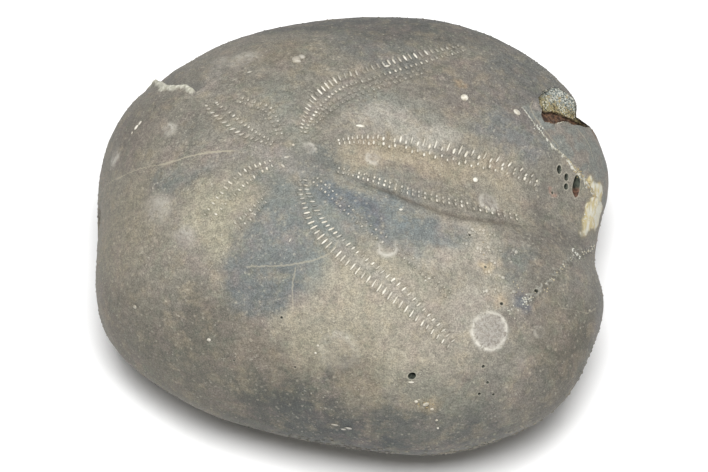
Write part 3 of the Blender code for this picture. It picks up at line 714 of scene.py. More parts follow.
# The stone is stained in patches: the mud inside shows through the thin calcite more in some than in others. The dark
# bands along the near lower margin and along the far rim are partly painted shade: they darken the test where it turns
# away from the light.
STONE = (118, 114, 104)
STAINS_AND_RIM_SHADE = (
    # plan place, half sizes, turn, tint, strength and softness of the edge, from the broadest to the smallest
    ((-32.9, -9.2), (7, 11), 0, (127, 121, 106), 0.9, 0.6),
    ((-20.5, -28.6), (16, 7), -20, (93, 90, 79), 0.9, 0.6),
    # painted shade: dark bands along the near lower margin, where the side turns under, away from the light
    ((-5.9, -34.5), (17, 3.4), 0, (70, 71, 65), 0.9, 0.6),
    ((8.5, -35.2), (19, 3.0), 0, (66, 70, 69), 0.9, 0.6),
    # painted shade: a dark band along the far rim, where the top turns away from the light
    ((1.5, 28.5), (22, 5), 0, (76, 77, 74), 0.9, 0.6),
    ((3.0, 20.5), (7.5, 3.5), 0, (100, 101, 97), 0.8, 0.5),
    ((-32.0, 9.0), (5.5, 6.0), 0, (103, 97, 89), 0.8, 0.6),
    ((23.5, 14.0), (5.5, 4.5), 0, (103, 100, 97), 0.8, 0.5),
    ((25.4, 20.8), (8, 7), 0, (96, 97, 94), 0.9, 0.5),
    ((35.3, -18.3), (4, 9), 0, (108, 108, 105), 0.8, 0.5),
    ((31.4, -20.2), (6, 6), 0, (108, 102, 90), 0.8, 0.5),
    ((33.0, -23.5), (4.0, 7.0), -25, (88, 84, 73), 0.9, 0.6),
    ((-20.0, -23.0), (5.5, 4.0), 0, (92, 88, 79), 0.8, 0.6),
    ((28.5, -30.0), (6.0, 4.5), 25, (92, 89, 82), 0.8, 0.6),
    ((-7.0, -3.0), (5.5, 3.0), 0, (104, 103, 98), 0.7, 0.6),
    ((4.4, -24.6), (13.0, 9.5), -5, (142, 136, 120), 1.0, 0.3),
    ((14.6, -24.0), (9.0, 6.5), 0, (136, 130, 117), 0.9, 0.4),
    ((20.4, -20.5), (4.0, 4.0), 0, (148, 143, 131), 0.9, 0.5),
    ((15.3, -13.0), (7.0, 4.4), -10, (149, 143, 130), 1.0, 0.35),
    ((20.5, -2.5), (4.5, 4.5), 0, (137, 131, 117), 0.8, 0.6),
    ((9.5, -1.0), (11.0, 3.0), 2, (143, 133, 114), 1.0, 0.4),
    ((3.5, 9.0), (6.5, 3.0), 0, (124, 126, 118), 0.7, 0.6),
    ((8.6, 5.2), (8.5, 2.8), 2, (152, 148, 138), 0.9, 0.5),
    ((16.6, 15.1), (8.0, 4.0), 20, (111, 105, 98), 0.8, 0.5),
    ((22.6, 8.2), (4.5, 3.6), 0, (104, 106, 104), 0.9, 0.4),
    ((26.2, -9.0), (3.4, 11.0), 6, (99, 95, 88), 0.75, 0.6),
    ((31.5, -5.5), (2.6, 3.5), 0, (92, 88, 83), 0.7, 0.6),
    ((22.9, -14.8), (2.4, 3.0), 0, (100, 103, 98), 0.8, 0.5),
    ((19.7, -15.2), (1.1, 0.8), 0, (176, 158, 126), 0.6, 0.5),
    ((22.0, -19.6), (1.3, 0.7), 35, (170, 152, 126), 0.6, 0.6),
    ((29.1, 1.25), (0.7, 0.55), 0, (140, 113, 98), 0.8, 0.6),
    ((25.2, -18.9), (1.7, 1.2), -30, (76, 83, 92), 0.8, 0.5),
    ((15.4, 15.0), (0.9, 0.6), 0, (152, 126, 98), 0.7, 0.5),
    ((12.3, -33.1), (1.5, 1.2), 0, (190, 158, 112), 1.0, 0.4),
    ((10.5, -33.0), (9.0, 3.4), 0, (119, 117, 105), 0.8, 0.4),
    ((1.2, -32.6), (3.6, 2.8), 0, (120, 112, 96), 0.8, 0.5),
    ((-11.5, -26.9), (5.0, 4.0), 0, (119, 110, 97), 0.8, 0.5),
    ((-19.2, -13.0), (5.2, 5.6), 20, (141, 136, 118), 1.0, 0.4),
    ((-23.2, -4.2), (4.2, 2.5), 8, (103, 107, 102), 0.9, 0.5),
    ((-14.3, -2.9), (5.0, 1.6), 5, (128, 124, 117), 0.8, 0.5),
    ((-13.0, 17.6), (5.0, 2.4), 12, (119, 112, 97), 0.8, 0.5),
    ((-19.4, 13.5), (4.6, 2.2), 15, (131, 126, 118), 0.9, 0.5),
    ((-20.8, 4.0), (4.0, 2.8), -20, (104, 102, 94), 0.8, 0.5),
    ((-28.1, 7.9), (3.6, 3.6), 0, (108, 105, 95), 0.8, 0.5),
    ((-9.4, 5.7), (3.2, 6.0), 0, (119, 120, 111), 0.8, 0.5),
    ((-6.5, -14.5), (4.5, 6.5), 0, (102, 109, 106), 0.85, 0.6),
    ((-6.0, -7.0), (4.0, 3.0), -30, (97, 104, 102), 0.7, 0.6),
    ((-33.5, -20.5), (4.5, 4.5), 0, (103, 97, 86), 0.7, 0.6),
    ((-15.2, 3.0), (4.0, 2.8), 0, (129, 125, 115), 0.7, 0.6),
    ((-12.0, -9.6), (3.6, 4.6), 0, (100, 106, 103), 0.9, 0.5),
    ((-10.6, -15.6), (4.8, 4.4), 0, (97, 102, 101), 0.9, 0.7),
    ((-11.2, -21.0), (4.8, 3.8), 0, (92, 97, 96), 1.0, 0.5),
    ((1.5, -9.5), (11.0, 4.6), -20, (110, 115, 111), 0.8, 0.6),
    ((8.8, -10.8), (8.0, 2.8), -8, (100, 107, 107), 0.9, 0.5),
    ((-0.8, -9.8), (7.0, 1.9), -44, (85, 92, 98), 0.9, 0.6),
    ((-4.2, -1.4), (2.9, 2.2), 0, (97, 99, 94), 0.9, 0.5),
    ((6.7, -20.5), (9.5, 1.2), -33, (143, 139, 129), 0.7, 0.6),
    ((-3.5, 9.3), (6.0, 1.2), 52, (127, 122, 114), 0.6, 0.6),
    ((-1.6, -29.5), (5.5, 3.0), 0, (136, 130, 112), 0.8, 0.5),
    # painted shade: the darkest band, at the foot of the near side by the table
    ((5.0, -36.0), (9.0, 1.25), 0, (62, 66, 66), 0.8, 0.9),
)
WARP_SIZES = (9.0, 2.2, 0.8)
WARP_REACHES = (5.0, 1.6, 0.7)


def srgb(red, green, blue):
    """The linear colour of an 8-bit screen colour."""
    parts = [c / 12.92 if c <= 0.04045 else ((c + 0.055) / 1.055) ** 2.4 for c in (v / 255 for v in (red, green, blue))]
    return (*parts, 1.0)


def stain_and_rim_shade_at(points):
    """The stone's colour at points, before its fine mottling: stain patches with wandering, frayed edges, plus painted
    shade in the dark bands along the near lower margin and the far rim.
    """
    shifts = [
        np.stack([reach * roughness_at(points, size, seed + 20.0 * axis) for axis in range(3)], axis=1)
        for seed, (size, reach) in enumerate(zip(WARP_SIZES, WARP_REACHES))
    ]
    colour = np.tile(srgb(*STONE)[:3], (len(points), 1))
    for plan_place, sizes, turn, tint, strength, softness in STAINS_AND_RIM_SHADE:
        offset = points + (shifts[-1] if min(sizes) < 1.3 else sum(shifts)) - np.array(on_test(plan_place)[0])
        cosine, sine = math.cos(math.radians(turn)), math.sin(math.radians(turn))
        x, y, z = offset.T
        out = np.hypot(np.hypot((x * cosine + y * sine) / sizes[0], (y * cosine - x * sine) / sizes[1]), z / max(sizes))
        mask = strength * smooth_step(out, 1 + softness, 1 - softness)
        colour += mask[:, None] * (np.array(srgb(*tint)[:3]) - colour)
    return colour


mesh = bpy.data.meshes.new("urchin_test")
for vertex, point in zip(sphere.verts, points * MM):
    vertex.co = point
sphere.to_mesh(mesh)
sphere.free()
for name, values in marks.items():
    mesh.attributes.new(name, "FLOAT", "POINT").data.foreach_set("value", values.astype(np.float32))
# the stain colours include painted shade along the near lower margin and the far rim
mesh.attributes.new("stain_and_rim_shade", "FLOAT_VECTOR", "POINT").data.foreach_set("vector", stain_and_rim_shade_at(points).ravel())
mesh.shade_smooth()
urchin = bpy.data.objects.new("urchin_test", mesh)
bpy.context.scene.collection.objects.link(urchin)


class Number:
    """A socket in a finish, with arithmetic."""

    def __init__(self, finish, socket):
        self.finish = finish
        self.socket = socket

    def maths(self, operation, *values):
        return self.finish.node("ShaderNodeMath", {"operation": operation}, dict(enumerate(values)))

    def __add__(self, other):
        return self.maths("ADD", self, other)

    def __sub__(self, other):
        return self.maths("SUBTRACT", self, other)

    def __rsub__(self, other):
        return self.maths("SUBTRACT", other, self)

    def __mul__(self, other):
        return self.maths("MULTIPLY", self, other)

    def __truediv__(self, other):
        return self.maths("DIVIDE", self, other)

    def __abs__(self):
        return self.maths("ABSOLUTE", self)

    __radd__, __rmul__ = __add__, __mul__


class Finish:
    """A material being built."""

    def __init__(self, name):
        self.material = bpy.data.materials.new(name)
        self.material.use_nodes = True
        self.tree = self.material.node_tree
        self.tree.nodes.clear()

    def node(self, kind, settings=None, sockets=None, output=0):
        """A new node, with its settings made first and then its sockets set or linked."""
        made = self.tree.nodes.new(kind)
        for name, value in (settings or {}).items():
            setattr(made, name, value)
        for key, value in (sockets or {}).items():
            if isinstance(value, Number):
                self.tree.links.new(value.socket, made.inputs[key])
            else:
                made.inputs[key].default_value = value
        return Number(self, made.outputs[output]) if len(made.outputs) else made

    def vector(self, operation, *values, output=0):
        return self.node("ShaderNodeVectorMath", {"operation": operation}, dict(enumerate(values)), output)

    def noise(self, where, size, detail=2.0, output=0, roughness=0.5):
        """Noise from 0 to 1 with lumps of that size in mm."""
        sockets = {"Vector": where, "Scale": 1 / size, "Detail": detail, "Roughness": roughness}
        return self.node("ShaderNodeTexNoise", {}, sockets, output)

    def ease(self, value, low, high, to_low=0.0, to_high=1.0):
        settings = {"interpolation_type": "SMOOTHSTEP"}
        return self.node("ShaderNodeMapRange", settings, dict(enumerate((value, low, high, to_low, to_high))))

    def mix(self, factor, under, over, blend="MIX"):
        """One colour laid over another."""
        settings = {"data_type": "RGBA", "blend_type": blend, "clamp_factor": True}
        return self.node("ShaderNodeMix", settings, {0: factor, 6: under, 7: over}, 2)

    def mark(self, name):
        return self.node("ShaderNodeAttribute", {"attribute_name": name}, {}, 2)

    def place(self):
        """The place on the piece, in mm."""
        place = self.node("ShaderNodeTexCoord", {}, {}, 3)
        scaled = self.node("ShaderNodeVectorMath", {"operation": "SCALE"}, {0: place, 3: 1 / MM})
        return scaled

    def surface(self, colour, roughness, bump=None, strength=1.0, distance=0.1, **plain):
        """A Principled surface; bump is a height in mm and plain are settings that are the same all over."""
        sockets = {"Base Color": colour, "Roughness": roughness, **plain}
        if bump is not None:
            depth = {"Strength": strength, "Distance": distance * MM, "Height": bump}
            sockets["Normal"] = self.node("ShaderNodeBump", {}, depth)
        shader = self.node("ShaderNodeBsdfPrincipled", {}, sockets)
        self.node("ShaderNodeOutputMaterial", {}, {"Surface": shader})
        return self.material


def stone_colour(finish, place):
    """The stone's colour at a place: hardened grey-brown mud behind thin calcite, stained in patches, with painted
    shade along the near lower margin and the far rim.
    """
    colour = finish.node("ShaderNodeAttribute", {"attribute_name": "stain_and_rim_shade"})
    broad = finish.ease(finish.noise(place, 5.0, 4.0), 0.3, 0.7)
    colour = finish.mix(broad * 0.35, colour, finish.mix(0.5, colour, srgb(88, 87, 82)))
    warm = finish.ease(finish.noise(place, 2.6, 4.0, roughness=0.65), 0.46, 0.72)
    colour = finish.mix(warm * 0.35, colour, srgb(150, 138, 114))
    pink = finish.ease(finish.noise(place, 3.6, 4.0, 1, 0.65), 0.46, 0.7)
    colour = finish.mix(pink * 0.35, colour, srgb(132, 116, 110))
    olive = finish.ease(finish.noise(place, 2.3, 4.0, roughness=0.7), 0.5, 0.3)
    colour = finish.mix(olive * 0.4, colour, srgb(102, 106, 92))
    return colour


def shaded(finish, colour, factor, darker, lighter):
    """A colour made darker or lighter as a factor goes from 0 to 1."""
    grey = finish.mix(factor, (darker, darker, darker, 1), (lighter, lighter, lighter, 1))
    return finish.mix(1.0, colour, grey, "MULTIPLY")


def line_mask(finish, name, half_width, roughness):
    """1 on a line whose signed distance is a vertex mark, with a frayed edge."""
    offset = abs(finish.mark(name + "_offset") + roughness)
    return finish.ease(offset, half_width * 1.5, half_width * 0.5) * finish.mark(name + "_strength")


finish = Finish("urchin_stone")
place = finish.place()
colour = stone_colour(finish, place)
mottle = finish.noise(place, 1.1, 4.0, roughness=0.95)
fine = finish.noise(place, 0.22, 2.0, roughness=0.8)
fray = finish.noise(place, 0.5, 3.0) - 0.5
cells = finish.node("ShaderNodeTexVoronoi", {}, {"Vector": place, "Scale": 1 / 1.15, "Randomness": 0.85})
colour = finish.mix(finish.ease(cells, 0.26, 0.1) * 0.3, colour, srgb(166, 160, 144))
facet_cloud = finish.mix(finish.ease(finish.noise(place, 2.4, 3.0), 0.4, 0.6), srgb(112, 115, 110), srgb(124, 118, 110))
colour = finish.mix(finish.mark("facet") * 0.85, colour, facet_cloud)
colour = finish.mix(finish.mark("sunken") * 0.7, colour, srgb(98, 97, 92))
# Painted shadow: the furrow is darkened as if shaded by the groove's near wall.
colour = finish.mix(finish.mark("furrow") * 0.5, colour, srgb(84, 75, 64))
colour = finish.mix(finish.mark("broken") * 0.9, colour, srgb(128, 108, 80))
colour = shaded(finish, colour, finish.ease(mottle, 0.3, 0.7), 0.7, 1.3)
colour = shaded(finish, colour, finish.ease(fine, 0.32, 0.68), 0.72, 1.28)
crust_where = finish.ease(finish.noise(place, 5.0, 2.0), 0.5, 0.62)
flecks = finish.ease(finish.noise(place, 0.45, 3.0, roughness=0.7), 0.6, 0.7)
colour = finish.mix(flecks * (crust_where * 0.55 + 0.15), colour, srgb(176, 172, 158))
pits = finish.ease(finish.noise(place, 0.5, 3.0, 1, 0.7), 0.37, 0.3)
colour = finish.mix(pits * 0.4, colour, srgb(60, 57, 50))
scar_cloud = finish.mix(finish.ease(finish.noise(place, 0.4, 3.0, roughness=0.8), 0.36, 0.62), srgb(122, 115, 107), srgb(168, 164, 157))
colour = finish.mix(finish.mark("scar"), colour, scar_cloud)
rim_cloud = finish.ease(finish.noise(place, 0.8, 4.0, roughness=0.75), 0.34, 0.52)
colour = finish.mix(finish.mark("rim") * rim_cloud, colour, srgb(192, 188, 177))
colour = finish.mix(line_mask(finish, "hair", 0.19, fray * 0.7) * 0.65, colour, srgb(164, 157, 138))
white = finish.mix(finish.ease(fray, -0.1, 0.12), srgb(150, 146, 128), srgb(196, 194, 182))
colour = finish.mix(line_mask(finish, "vein", 0.3, fray * 1.6) * 0.85, colour, white)
crack_cloud = finish.mix(finish.ease(fray, -0.06, 0.1), srgb(74, 72, 64), srgb(150, 149, 140))
colour = finish.mix(line_mask(finish, "crack", 0.5, fray * 3.0) * 0.6, colour, crack_cloud)
lip_colour = finish.mix(finish.ease(fray, -0.1, 0.2), srgb(168, 166, 150), srgb(206, 204, 190))
colour = finish.mix(finish.mark("lip"), colour, lip_colour)
along_spar = finish.vector("MULTIPLY", place, (1.0, 0.3, 0.5))
spar_cloud = finish.ease(finish.noise(along_spar, 0.7, 3.0, roughness=0.65), 0.42, 0.6)
spar_colour = finish.mix(spar_cloud, srgb(200, 198, 184), srgb(184, 170, 128))
orange = finish.ease(finish.noise(along_spar, 0.8, 3.0), 0.58, 0.7)
orange = orange * finish.ease(finish.noise(place, 2.2, 2.0), 0.45, 0.6)
spar_colour = finish.mix(orange * 0.35, spar_colour, srgb(138, 106, 74))
spar_colour = finish.mix(finish.ease(finish.mark("spar"), 0.95, 0.4), spar_colour, srgb(136, 126, 100))
colour = finish.mix(finish.mark("spar") * 0.9, colour, spar_colour)
low = finish.mark("low_wall") + (finish.noise(place, 1.2, 3.0) - 0.5)
wall_colour = finish.mix(finish.ease(low, 0.5, 0.95), srgb(138, 144, 139), srgb(138, 131, 98))
specks = finish.ease(finish.noise(place, 0.34, 3.0), 0.5, 0.42)
wall_colour = finish.mix(specks * 0.85, wall_colour, srgb(58, 62, 54))
colour = finish.mix(finish.mark("hole"), colour, wall_colour)
floor_colour = finish.mix(finish.ease(finish.noise(place, 0.8, 3.0), 0.4, 0.6), srgb(58, 42, 32), srgb(112, 84, 64))
colour = finish.mix(finish.mark("floor"), colour, floor_colour)
colour = finish.mix(finish.mark("nick") * 0.8, colour, srgb(140, 92, 54))
colour = finish.mix(finish.mark("bored_rim") * 0.5, colour, srgb(196, 190, 172))
bore_colour = finish.mix(finish.mark("bored_low"), srgb(56, 60, 52), srgb(88, 64, 50))
bore_colour = shaded(finish, bore_colour, finish.ease(finish.noise(place, 0.5, 3.0), 0.4, 0.6), 0.5, 1.5)
colour = finish.mix(finish.mark("bored"), colour, bore_colour)
colour = finish.mix(finish.ease(finish.mark("mud"), 0.0, 1.0), colour, srgb(108, 98, 80))
roughness = finish.ease(mottle, 0.3, 0.7, 0.6, 0.8)
bump = mottle + fine * 0.3
urchin.data.materials.append(finish.surface(colour, roughness, bump=bump, strength=0.6, distance=0.3))
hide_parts("sea_urchin_test")
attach(urchin, "root")

# ---------------------------------------------------------------------------------------------
# The pores' filling. Each slit holds a lens of white calcite, flush with the test: one shape is set
# on every pore, stretched to its slit and turned across its row.
# ---------------------------------------------------------------------------------------------
FILLING_HEIGHT = 0.28
FILLING_SEGMENTS = 8
FILLING_RINGS = 5


class Recipe:
    """A Geometry Nodes tree being built, with named inputs."""

    def __init__(self, name):
        self.tree = bpy.data.node_groups.new(name, "GeometryNodeTree")
        self.tree.interface.new_socket("Result", in_out="OUTPUT", socket_type="NodeSocketGeometry")
        self.entry = self.tree.nodes.new("NodeGroupInput")
        self.identifiers = {}

    def input(self, name, kind):
        made = self.tree.interface.new_socket(name, in_out="INPUT", socket_type="NodeSocket" + kind)
        self.identifiers[name] = made.identifier
        return self.entry.outputs[made.identifier]

    def node(self, kind, settings=None, sockets=None, output=0):
        made = self.tree.nodes.new(kind)
        for name, value in (settings or {}).items():
            setattr(made, name, value)
        for key, value in (sockets or {}).items():
            if isinstance(value, bpy.types.NodeSocket):
                self.tree.links.new(value, made.inputs[key])
            else:
                made.inputs[key].default_value = value
        return made.outputs[output] if len(made.outputs) else made

    def field(self, name, kind):
        return self.node("GeometryNodeInputNamedAttribute", {"data_type": kind}, {"Name": name})

    def end(self, geometry, material):
        """Makes the instances real and gives them their finish."""
        real = self.node("GeometryNodeRealizeInstances", {}, {"Geometry": geometry})
        finished = self.node("GeometryNodeSetMaterial", {}, {"Geometry": real, "Material": material})
        self.node("NodeGroupOutput", {}, {0: finished})

    def grown_on(self, name, mesh, values):
        """The plain mesh object that the recipe makes from a mesh and the values of its inputs."""
        carrier = bpy.data.objects.new(name + "_carrier", mesh)
        bpy.context.scene.collection.objects.link(carrier)
        modifier = carrier.modifiers.new("recipe", "NODES")
        modifier.node_group = self.tree
        for key, value in values.items():
            modifier[self.identifiers[key]] = value
        graph = bpy.context.evaluated_depsgraph_get()
        piece = bpy.data.objects.new(name, bpy.data.meshes.new_from_object(carrier.evaluated_get(graph)))
        piece.data.name = name
        bpy.data.objects.remove(carrier)
        bpy.context.scene.collection.objects.link(piece)
        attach(piece, "root")
        return piece


def point_mesh(name, places, vectors, numbers):
    """A mesh of loose points with named vectors and numbers on each."""
    mesh = bpy.data.meshes.new(name)
    mesh.from_pydata([Vector(place) * MM for place in places], [], [])
    for key, values in vectors.items():
        mesh.attributes.new(key, "FLOAT_VECTOR", "POINT").data.foreach_set("vector", np.ravel(values))
    for key, values in numbers.items():
        mesh.attributes.new(key, "FLOAT", "POINT").data.foreach_set("value", values)
    return mesh


detailed = BVHTree.FromPolygons(
    [vertex.co / MM for vertex in urchin.data.vertices], [polygon.vertices[:] for polygon in urchin.data.polygons]
)


def laid_on(place):
    """The nearest place on the finished test, and the normal there."""
    found, normal, _, _ = detailed.find_nearest(place)
    return found, normal


finish = Finish("pore_calcite")
place = finish.place()
cloud = finish.ease(finish.noise(place, 0.7, 3.0), 0.3, 0.7)
calcite = finish.mix(cloud, srgb(176, 169, 152), srgb(216, 212, 200))
colour = finish.mix(finish.mark("bright"), stone_colour(finish, place), calcite)
pore_material = finish.surface(colour, finish.ease(cloud, 0, 1, 0.5, 0.65), bump=finish.noise(place, 0.2), strength=0.4)

recipe = Recipe("pore_fillings")
pore_points = recipe.input("Pores", "Geometry")
segments = recipe.input("Segments", "Int")
rings = recipe.input("Rings", "Int")
material = recipe.input("Finish", "Material")
lens_shape = recipe.node("GeometryNodeMeshUVSphere", {}, {"Segments": segments, "Rings": rings, "Radius": 0.5})
lens_shape = recipe.node("GeometryNodeSetShadeSmooth", {}, {0: lens_shape})
outward = recipe.field("outward", "FLOAT_VECTOR")
across = recipe.field("across", "FLOAT_VECTOR")
size = recipe.field("size", "FLOAT_VECTOR")
upright = recipe.node("FunctionNodeAlignRotationToVector", {"axis": "Z"}, {"Vector": outward})
turned = recipe.node(
    "FunctionNodeAlignRotationToVector", {"axis": "X", "pivot_axis": "Z"}, {"Rotation": upright, "Vector": across}
)
sockets = {"Points": pore_points, "Instance": lens_shape, "Rotation": turned, "Scale": size}
recipe.end(recipe.node("GeometryNodeInstanceOnPoints", {}, sockets), material)

pore_places, pore_vectors, pore_bright = [], {"outward": [], "across": [], "size": []}, []
for place, normal, across, length, wide, bright in pores:
    vary = noise.noise(place * 3.7)
    bright *= 0.85 + 0.9 * noise.noise(place * 0.9 + Vector((7, 0, 0))) + 0.5 * vary
    pore_places.append(laid_on(place)[0] + normal * 0.07)
    pore_vectors["outward"].append(normal)
    pore_vectors["across"].append(across)
    pore_vectors["size"].append(Vector((length, wide * (1 + 0.4 * vary), FILLING_HEIGHT)) * MM)
    pore_bright.append(min(max(bright, 0.0), 1.0))
pore_vectors["stain_and_rim_shade"] = stain_and_rim_shade_at(np.array(pore_places))
pore_mesh = point_mesh("pores", pore_places, pore_vectors, {"bright": pore_bright})
values = {"Segments": FILLING_SEGMENTS, "Rings": FILLING_RINGS, "Finish": pore_material}
pore_fillings = recipe.grown_on("pore_fillings", pore_mesh, values)

# ---------------------------------------------------------------------------------------------
# White growths. Small animals settled on the test and left knobs and dashes of chalky calcite, stuck
# flat on it: the same lens again, with more faces and a place, size and turn for each.
# ---------------------------------------------------------------------------------------------
GROWTHS = (
    # plan place, length, width and height, heading of the length, whiteness
    ((15.8, 12.3), (1.2, 1.15, 0.8), 0, 1.0),
    ((23.5, 11.8), (1.25, 0.9, 0.5), -30, 0.85),
    ((17.8, -0.8), (0.85, 0.8, 0.5), 0, 0.95),
    ((-8.8, 16.3), (1.5, 1.2, 0.8), 35, 0.4),
    ((-8.0, 16.9), (1.2, 0.9, 0.7), -20, 0.35),
    ((-8.7, 15.8), (1.3, 0.5, 0.6), 10, 0.6),
    ((1.1, 3.8), (1.4, 0.45, 0.3), 3, 0.9),
    ((-8.3, -0.6), (0.45, 0.4, 0.3), 0, 1.0),
    ((-9.1, -2.7), (0.9, 0.4, 0.25), 10, 0.5),
    ((-9.6, -4.1), (0.8, 0.4, 0.25), -40, 0.6),
    ((4.4, 16.4), (0.95, 0.35, 0.25), 5, 0.8),
    ((-31.1, 7.4), (0.8, 0.3, 0.3), 40, 0.7),
    ((-31.6, 6.9), (0.9, 0.4, 0.35), 30, 0.85),
    ((-32.2, 6.3), (0.5, 0.25, 0.25), 50, 0.6),
    ((-3.5, -27.6), (0.4, 0.35, 0.25), 0, 0.9),
    ((-3.8, -28.3), (0.35, 0.3, 0.25), 0, 0.9),
    ((-19.1, -25.8), (0.65, 0.5, 0.3), 20, 0.75),
    ((-30.1, -19.9), (0.6, 0.6, 0.3), 0, 0.5),
    ((-8.0, -15.1), (0.7, 0.3, 0.2), 60, 0.5),
    ((-15.4, 13.6), (0.7, 0.3, 0.2), 20, 0.5),
    ((11.8, -18.6), (0.4, 0.3, 0.2), 0, 0.6),
    ((11.3, -18.9), (0.4, 0.3, 0.2), 50, 0.6),
    ((7.4, -9.0), (0.6, 0.35, 0.2), 10, 0.8),
    ((34.9, -15.6), (0.5, 0.35, 0.2), 0, 0.6),
    ((9.8, -31.3), (0.9, 0.3, 0.3), 0, 0.75),
    ((10.6, -32.9), (0.55, 0.4, 0.3), 0, 0.9),
    ((12.0, -33.0), (1.0, 0.6, 0.4), 40, 0.5),
    ((12.9, -33.3), (0.6, 0.5, 0.35), 0, 0.65),
    ((13.6, -33.9, 22.1), (0.4, 0.3, 0.3), 0, 0.9),
    ((13.8, -34.3, 20.5), (0.35, 0.3, 0.3), 0, 0.8),
    ((1.1, -33.9, 18.7), (1.0, 0.35, 0.3), -35, 0.45),
    ((0.4, -33.8, 18.2), (0.8, 0.3, 0.25), 5, 0.4),
    ((-0.9, -33.6, 18.9), (1.1, 0.3, 0.25), 25, 0.35),
)
PALE_KNOBS = (
    # plan places on the worn patch between the front petals
    (17.3, -10.8), (16.7, -12.6), (17.7, -10.2), (19.0, -9.8), (20.5, -9.9), (21.6, -12.4), (23.7, -11.8), (19.9, -12.4),
    (20.7, -14.4), (20.1, -16.1), (21.9, -16.3), (19.9, -19.0), (21.4, -18.4), (23.8, -18.1), (18.7, -12.9), (23.0, -13.4),
)
PALE_KNOB_SIZE = (0.62, 0.5, 0.3)
PALE_KNOB_SPREAD = 0.34
for index, (x, y) in enumerate(PALE_KNOBS):
    for k in range(4):
        turn, share = 1.6 * k + 2.4 * index, 0.7 + 0.5 * math.sin(index * 2.4 + 1.9 * k)
        centre = (x + PALE_KNOB_SPREAD * math.cos(turn), y + PALE_KNOB_SPREAD * math.sin(turn))
        white = 0.26 + 0.16 * math.cos(index * 1.7 + k)
        GROWTHS += ((centre, [share * size for size in PALE_KNOB_SIZE], 70 * index, white),)
growth_places, growth_vectors = [], {"outward": [], "across": [], "size": []}
for centre, (length, width, height), heading, _ in GROWTHS:
    place, normal = laid_on(centre if len(centre) == 3 else on_test(centre)[0])
    growth_places.append(place + normal * height * 0.12)
    growth_vectors["outward"].append(normal)
    growth_vectors["across"].append(Vector((math.cos(math.radians(heading)), math.sin(math.radians(heading)), 0)))
    growth_vectors["size"].append(Vector((length, width, height)) * MM)
growth_vectors["stain_and_rim_shade"] = stain_and_rim_shade_at(np.array(growth_places))
growth_mesh = point_mesh("growths", growth_places, growth_vectors, {"bright": [growth[-1] for growth in GROWTHS]})
growths = recipe.grown_on("growths", growth_mesh, {"Segments": 14, "Rings": 9, "Finish": pore_material})

# ---------------------------------------------------------------------------------------------
# Crumbs. Broken grains and crystals of calcite cling where the stone is cracked: one jagged grain is
# strewn at random where the test is marked for them, each turned and sized by chance.
# ---------------------------------------------------------------------------------------------
CRUMB_SIZES = (0.12, 0.36)
CRUMB_GAP = 0.17
CRUMB_DENSITY = 16.0
CRUMB_SEED = 9

finish = Finish("crumb_calcite")
place = finish.place()
cloud = finish.noise(place, 0.35, 3.0, roughness=0.7)
tint = finish.mark("crumb_tint") + (cloud - 0.5) * 0.9
pale = finish.mix(finish.ease(tint, 0.45, 0.8), srgb(150, 134, 96), srgb(186, 186, 176))
colour = finish.mix(finish.ease(tint, 0.05, 0.4), srgb(62, 50, 38), pale)
crumb_material = finish.surface(colour, finish.ease(cloud, 0.3, 0.7, 0.35, 0.7))

recipe = Recipe("crumbs")
ground_mesh = recipe.input("Test", "Geometry")
gap = recipe.input("Gap", "Float")
density = recipe.input("Density", "Float")
smallest = recipe.input("Smallest", "Float")
largest = recipe.input("Largest", "Float")
seed = recipe.input("Seed", "Int")
material = recipe.input("Finish", "Material")
sockets = {
    "Mesh": ground_mesh,
    "Distance Min": gap,
    "Density Max": density,
    "Density Factor": recipe.field("crumbs", "FLOAT"),
    "Seed": seed,
}
scatter = recipe.node("GeometryNodeDistributePointsOnFaces", {"distribute_method": "POISSON"}, sockets).node
grain = recipe.node("GeometryNodeMeshIcoSphere", {}, {"Radius": 0.5, "Subdivisions": 1})
turn = recipe.node("FunctionNodeRandomValue", {"data_type": "FLOAT_VECTOR"}, {1: (math.tau, math.tau, math.tau), "Seed": seed})
size = recipe.node("FunctionNodeRandomValue", {"data_type": "FLOAT_VECTOR"}, {"Seed": seed})
spread = recipe.node("ShaderNodeMath", {"operation": "SUBTRACT"}, {0: largest, 1: smallest})
size = recipe.node("ShaderNodeVectorMath", {"operation": "SCALE"}, {0: size, 3: spread})
size = recipe.node("ShaderNodeVectorMath", {"operation": "ADD"}, {0: size, 1: smallest})
sockets = {"Points": scatter.outputs["Points"], "Instance": grain, "Rotation": turn, "Scale": size}
recipe.end(recipe.node("GeometryNodeInstanceOnPoints", {}, sockets), material)
values = {
    "Gap": CRUMB_GAP * MM,
    "Density": CRUMB_DENSITY / MM ** 2,
    "Smallest": CRUMB_SIZES[0] * MM,
    "Largest": CRUMB_SIZES[1] * MM,
    "Seed": CRUMB_SEED,
    "Finish": crumb_material,
}
crumbs = recipe.grown_on("crumbs", urchin.data, values)
print("crumb faces", len(crumbs.data.polygons))

# ---------------------------------------------------------------------------------------------
# Tubercles. Spines stood on thousands of small round knobs, which cover the test. They are strewn
# over it at random, at least a set gap apart, half sunk in it.
# ---------------------------------------------------------------------------------------------
TUBERCLE_SIZES = (0.3, 0.5)
TUBERCLE_GAP = 0.72
TUBERCLE_DENSITY = 1.1
TUBERCLE_FLATNESS = 0.55
TUBERCLE_SEED = 4

finish = Finish("tubercle_stone")
place = finish.place()
pale_place = finish.ease(finish.vector("DOT_PRODUCT", place, (0.02, -0.035, -0.06), output=1), 0.35, 1.1)
colour = finish.mix(0.08 + pale_place * 0.3, stone_colour(finish, place), srgb(184, 178, 160))
colour = shaded(finish, colour, finish.noise(place, 0.3), 0.85, 1.25)
tubercle_material = finish.surface(colour, finish.ease(finish.noise(place, 1.0), 0.3, 0.7, 0.6, 0.75))

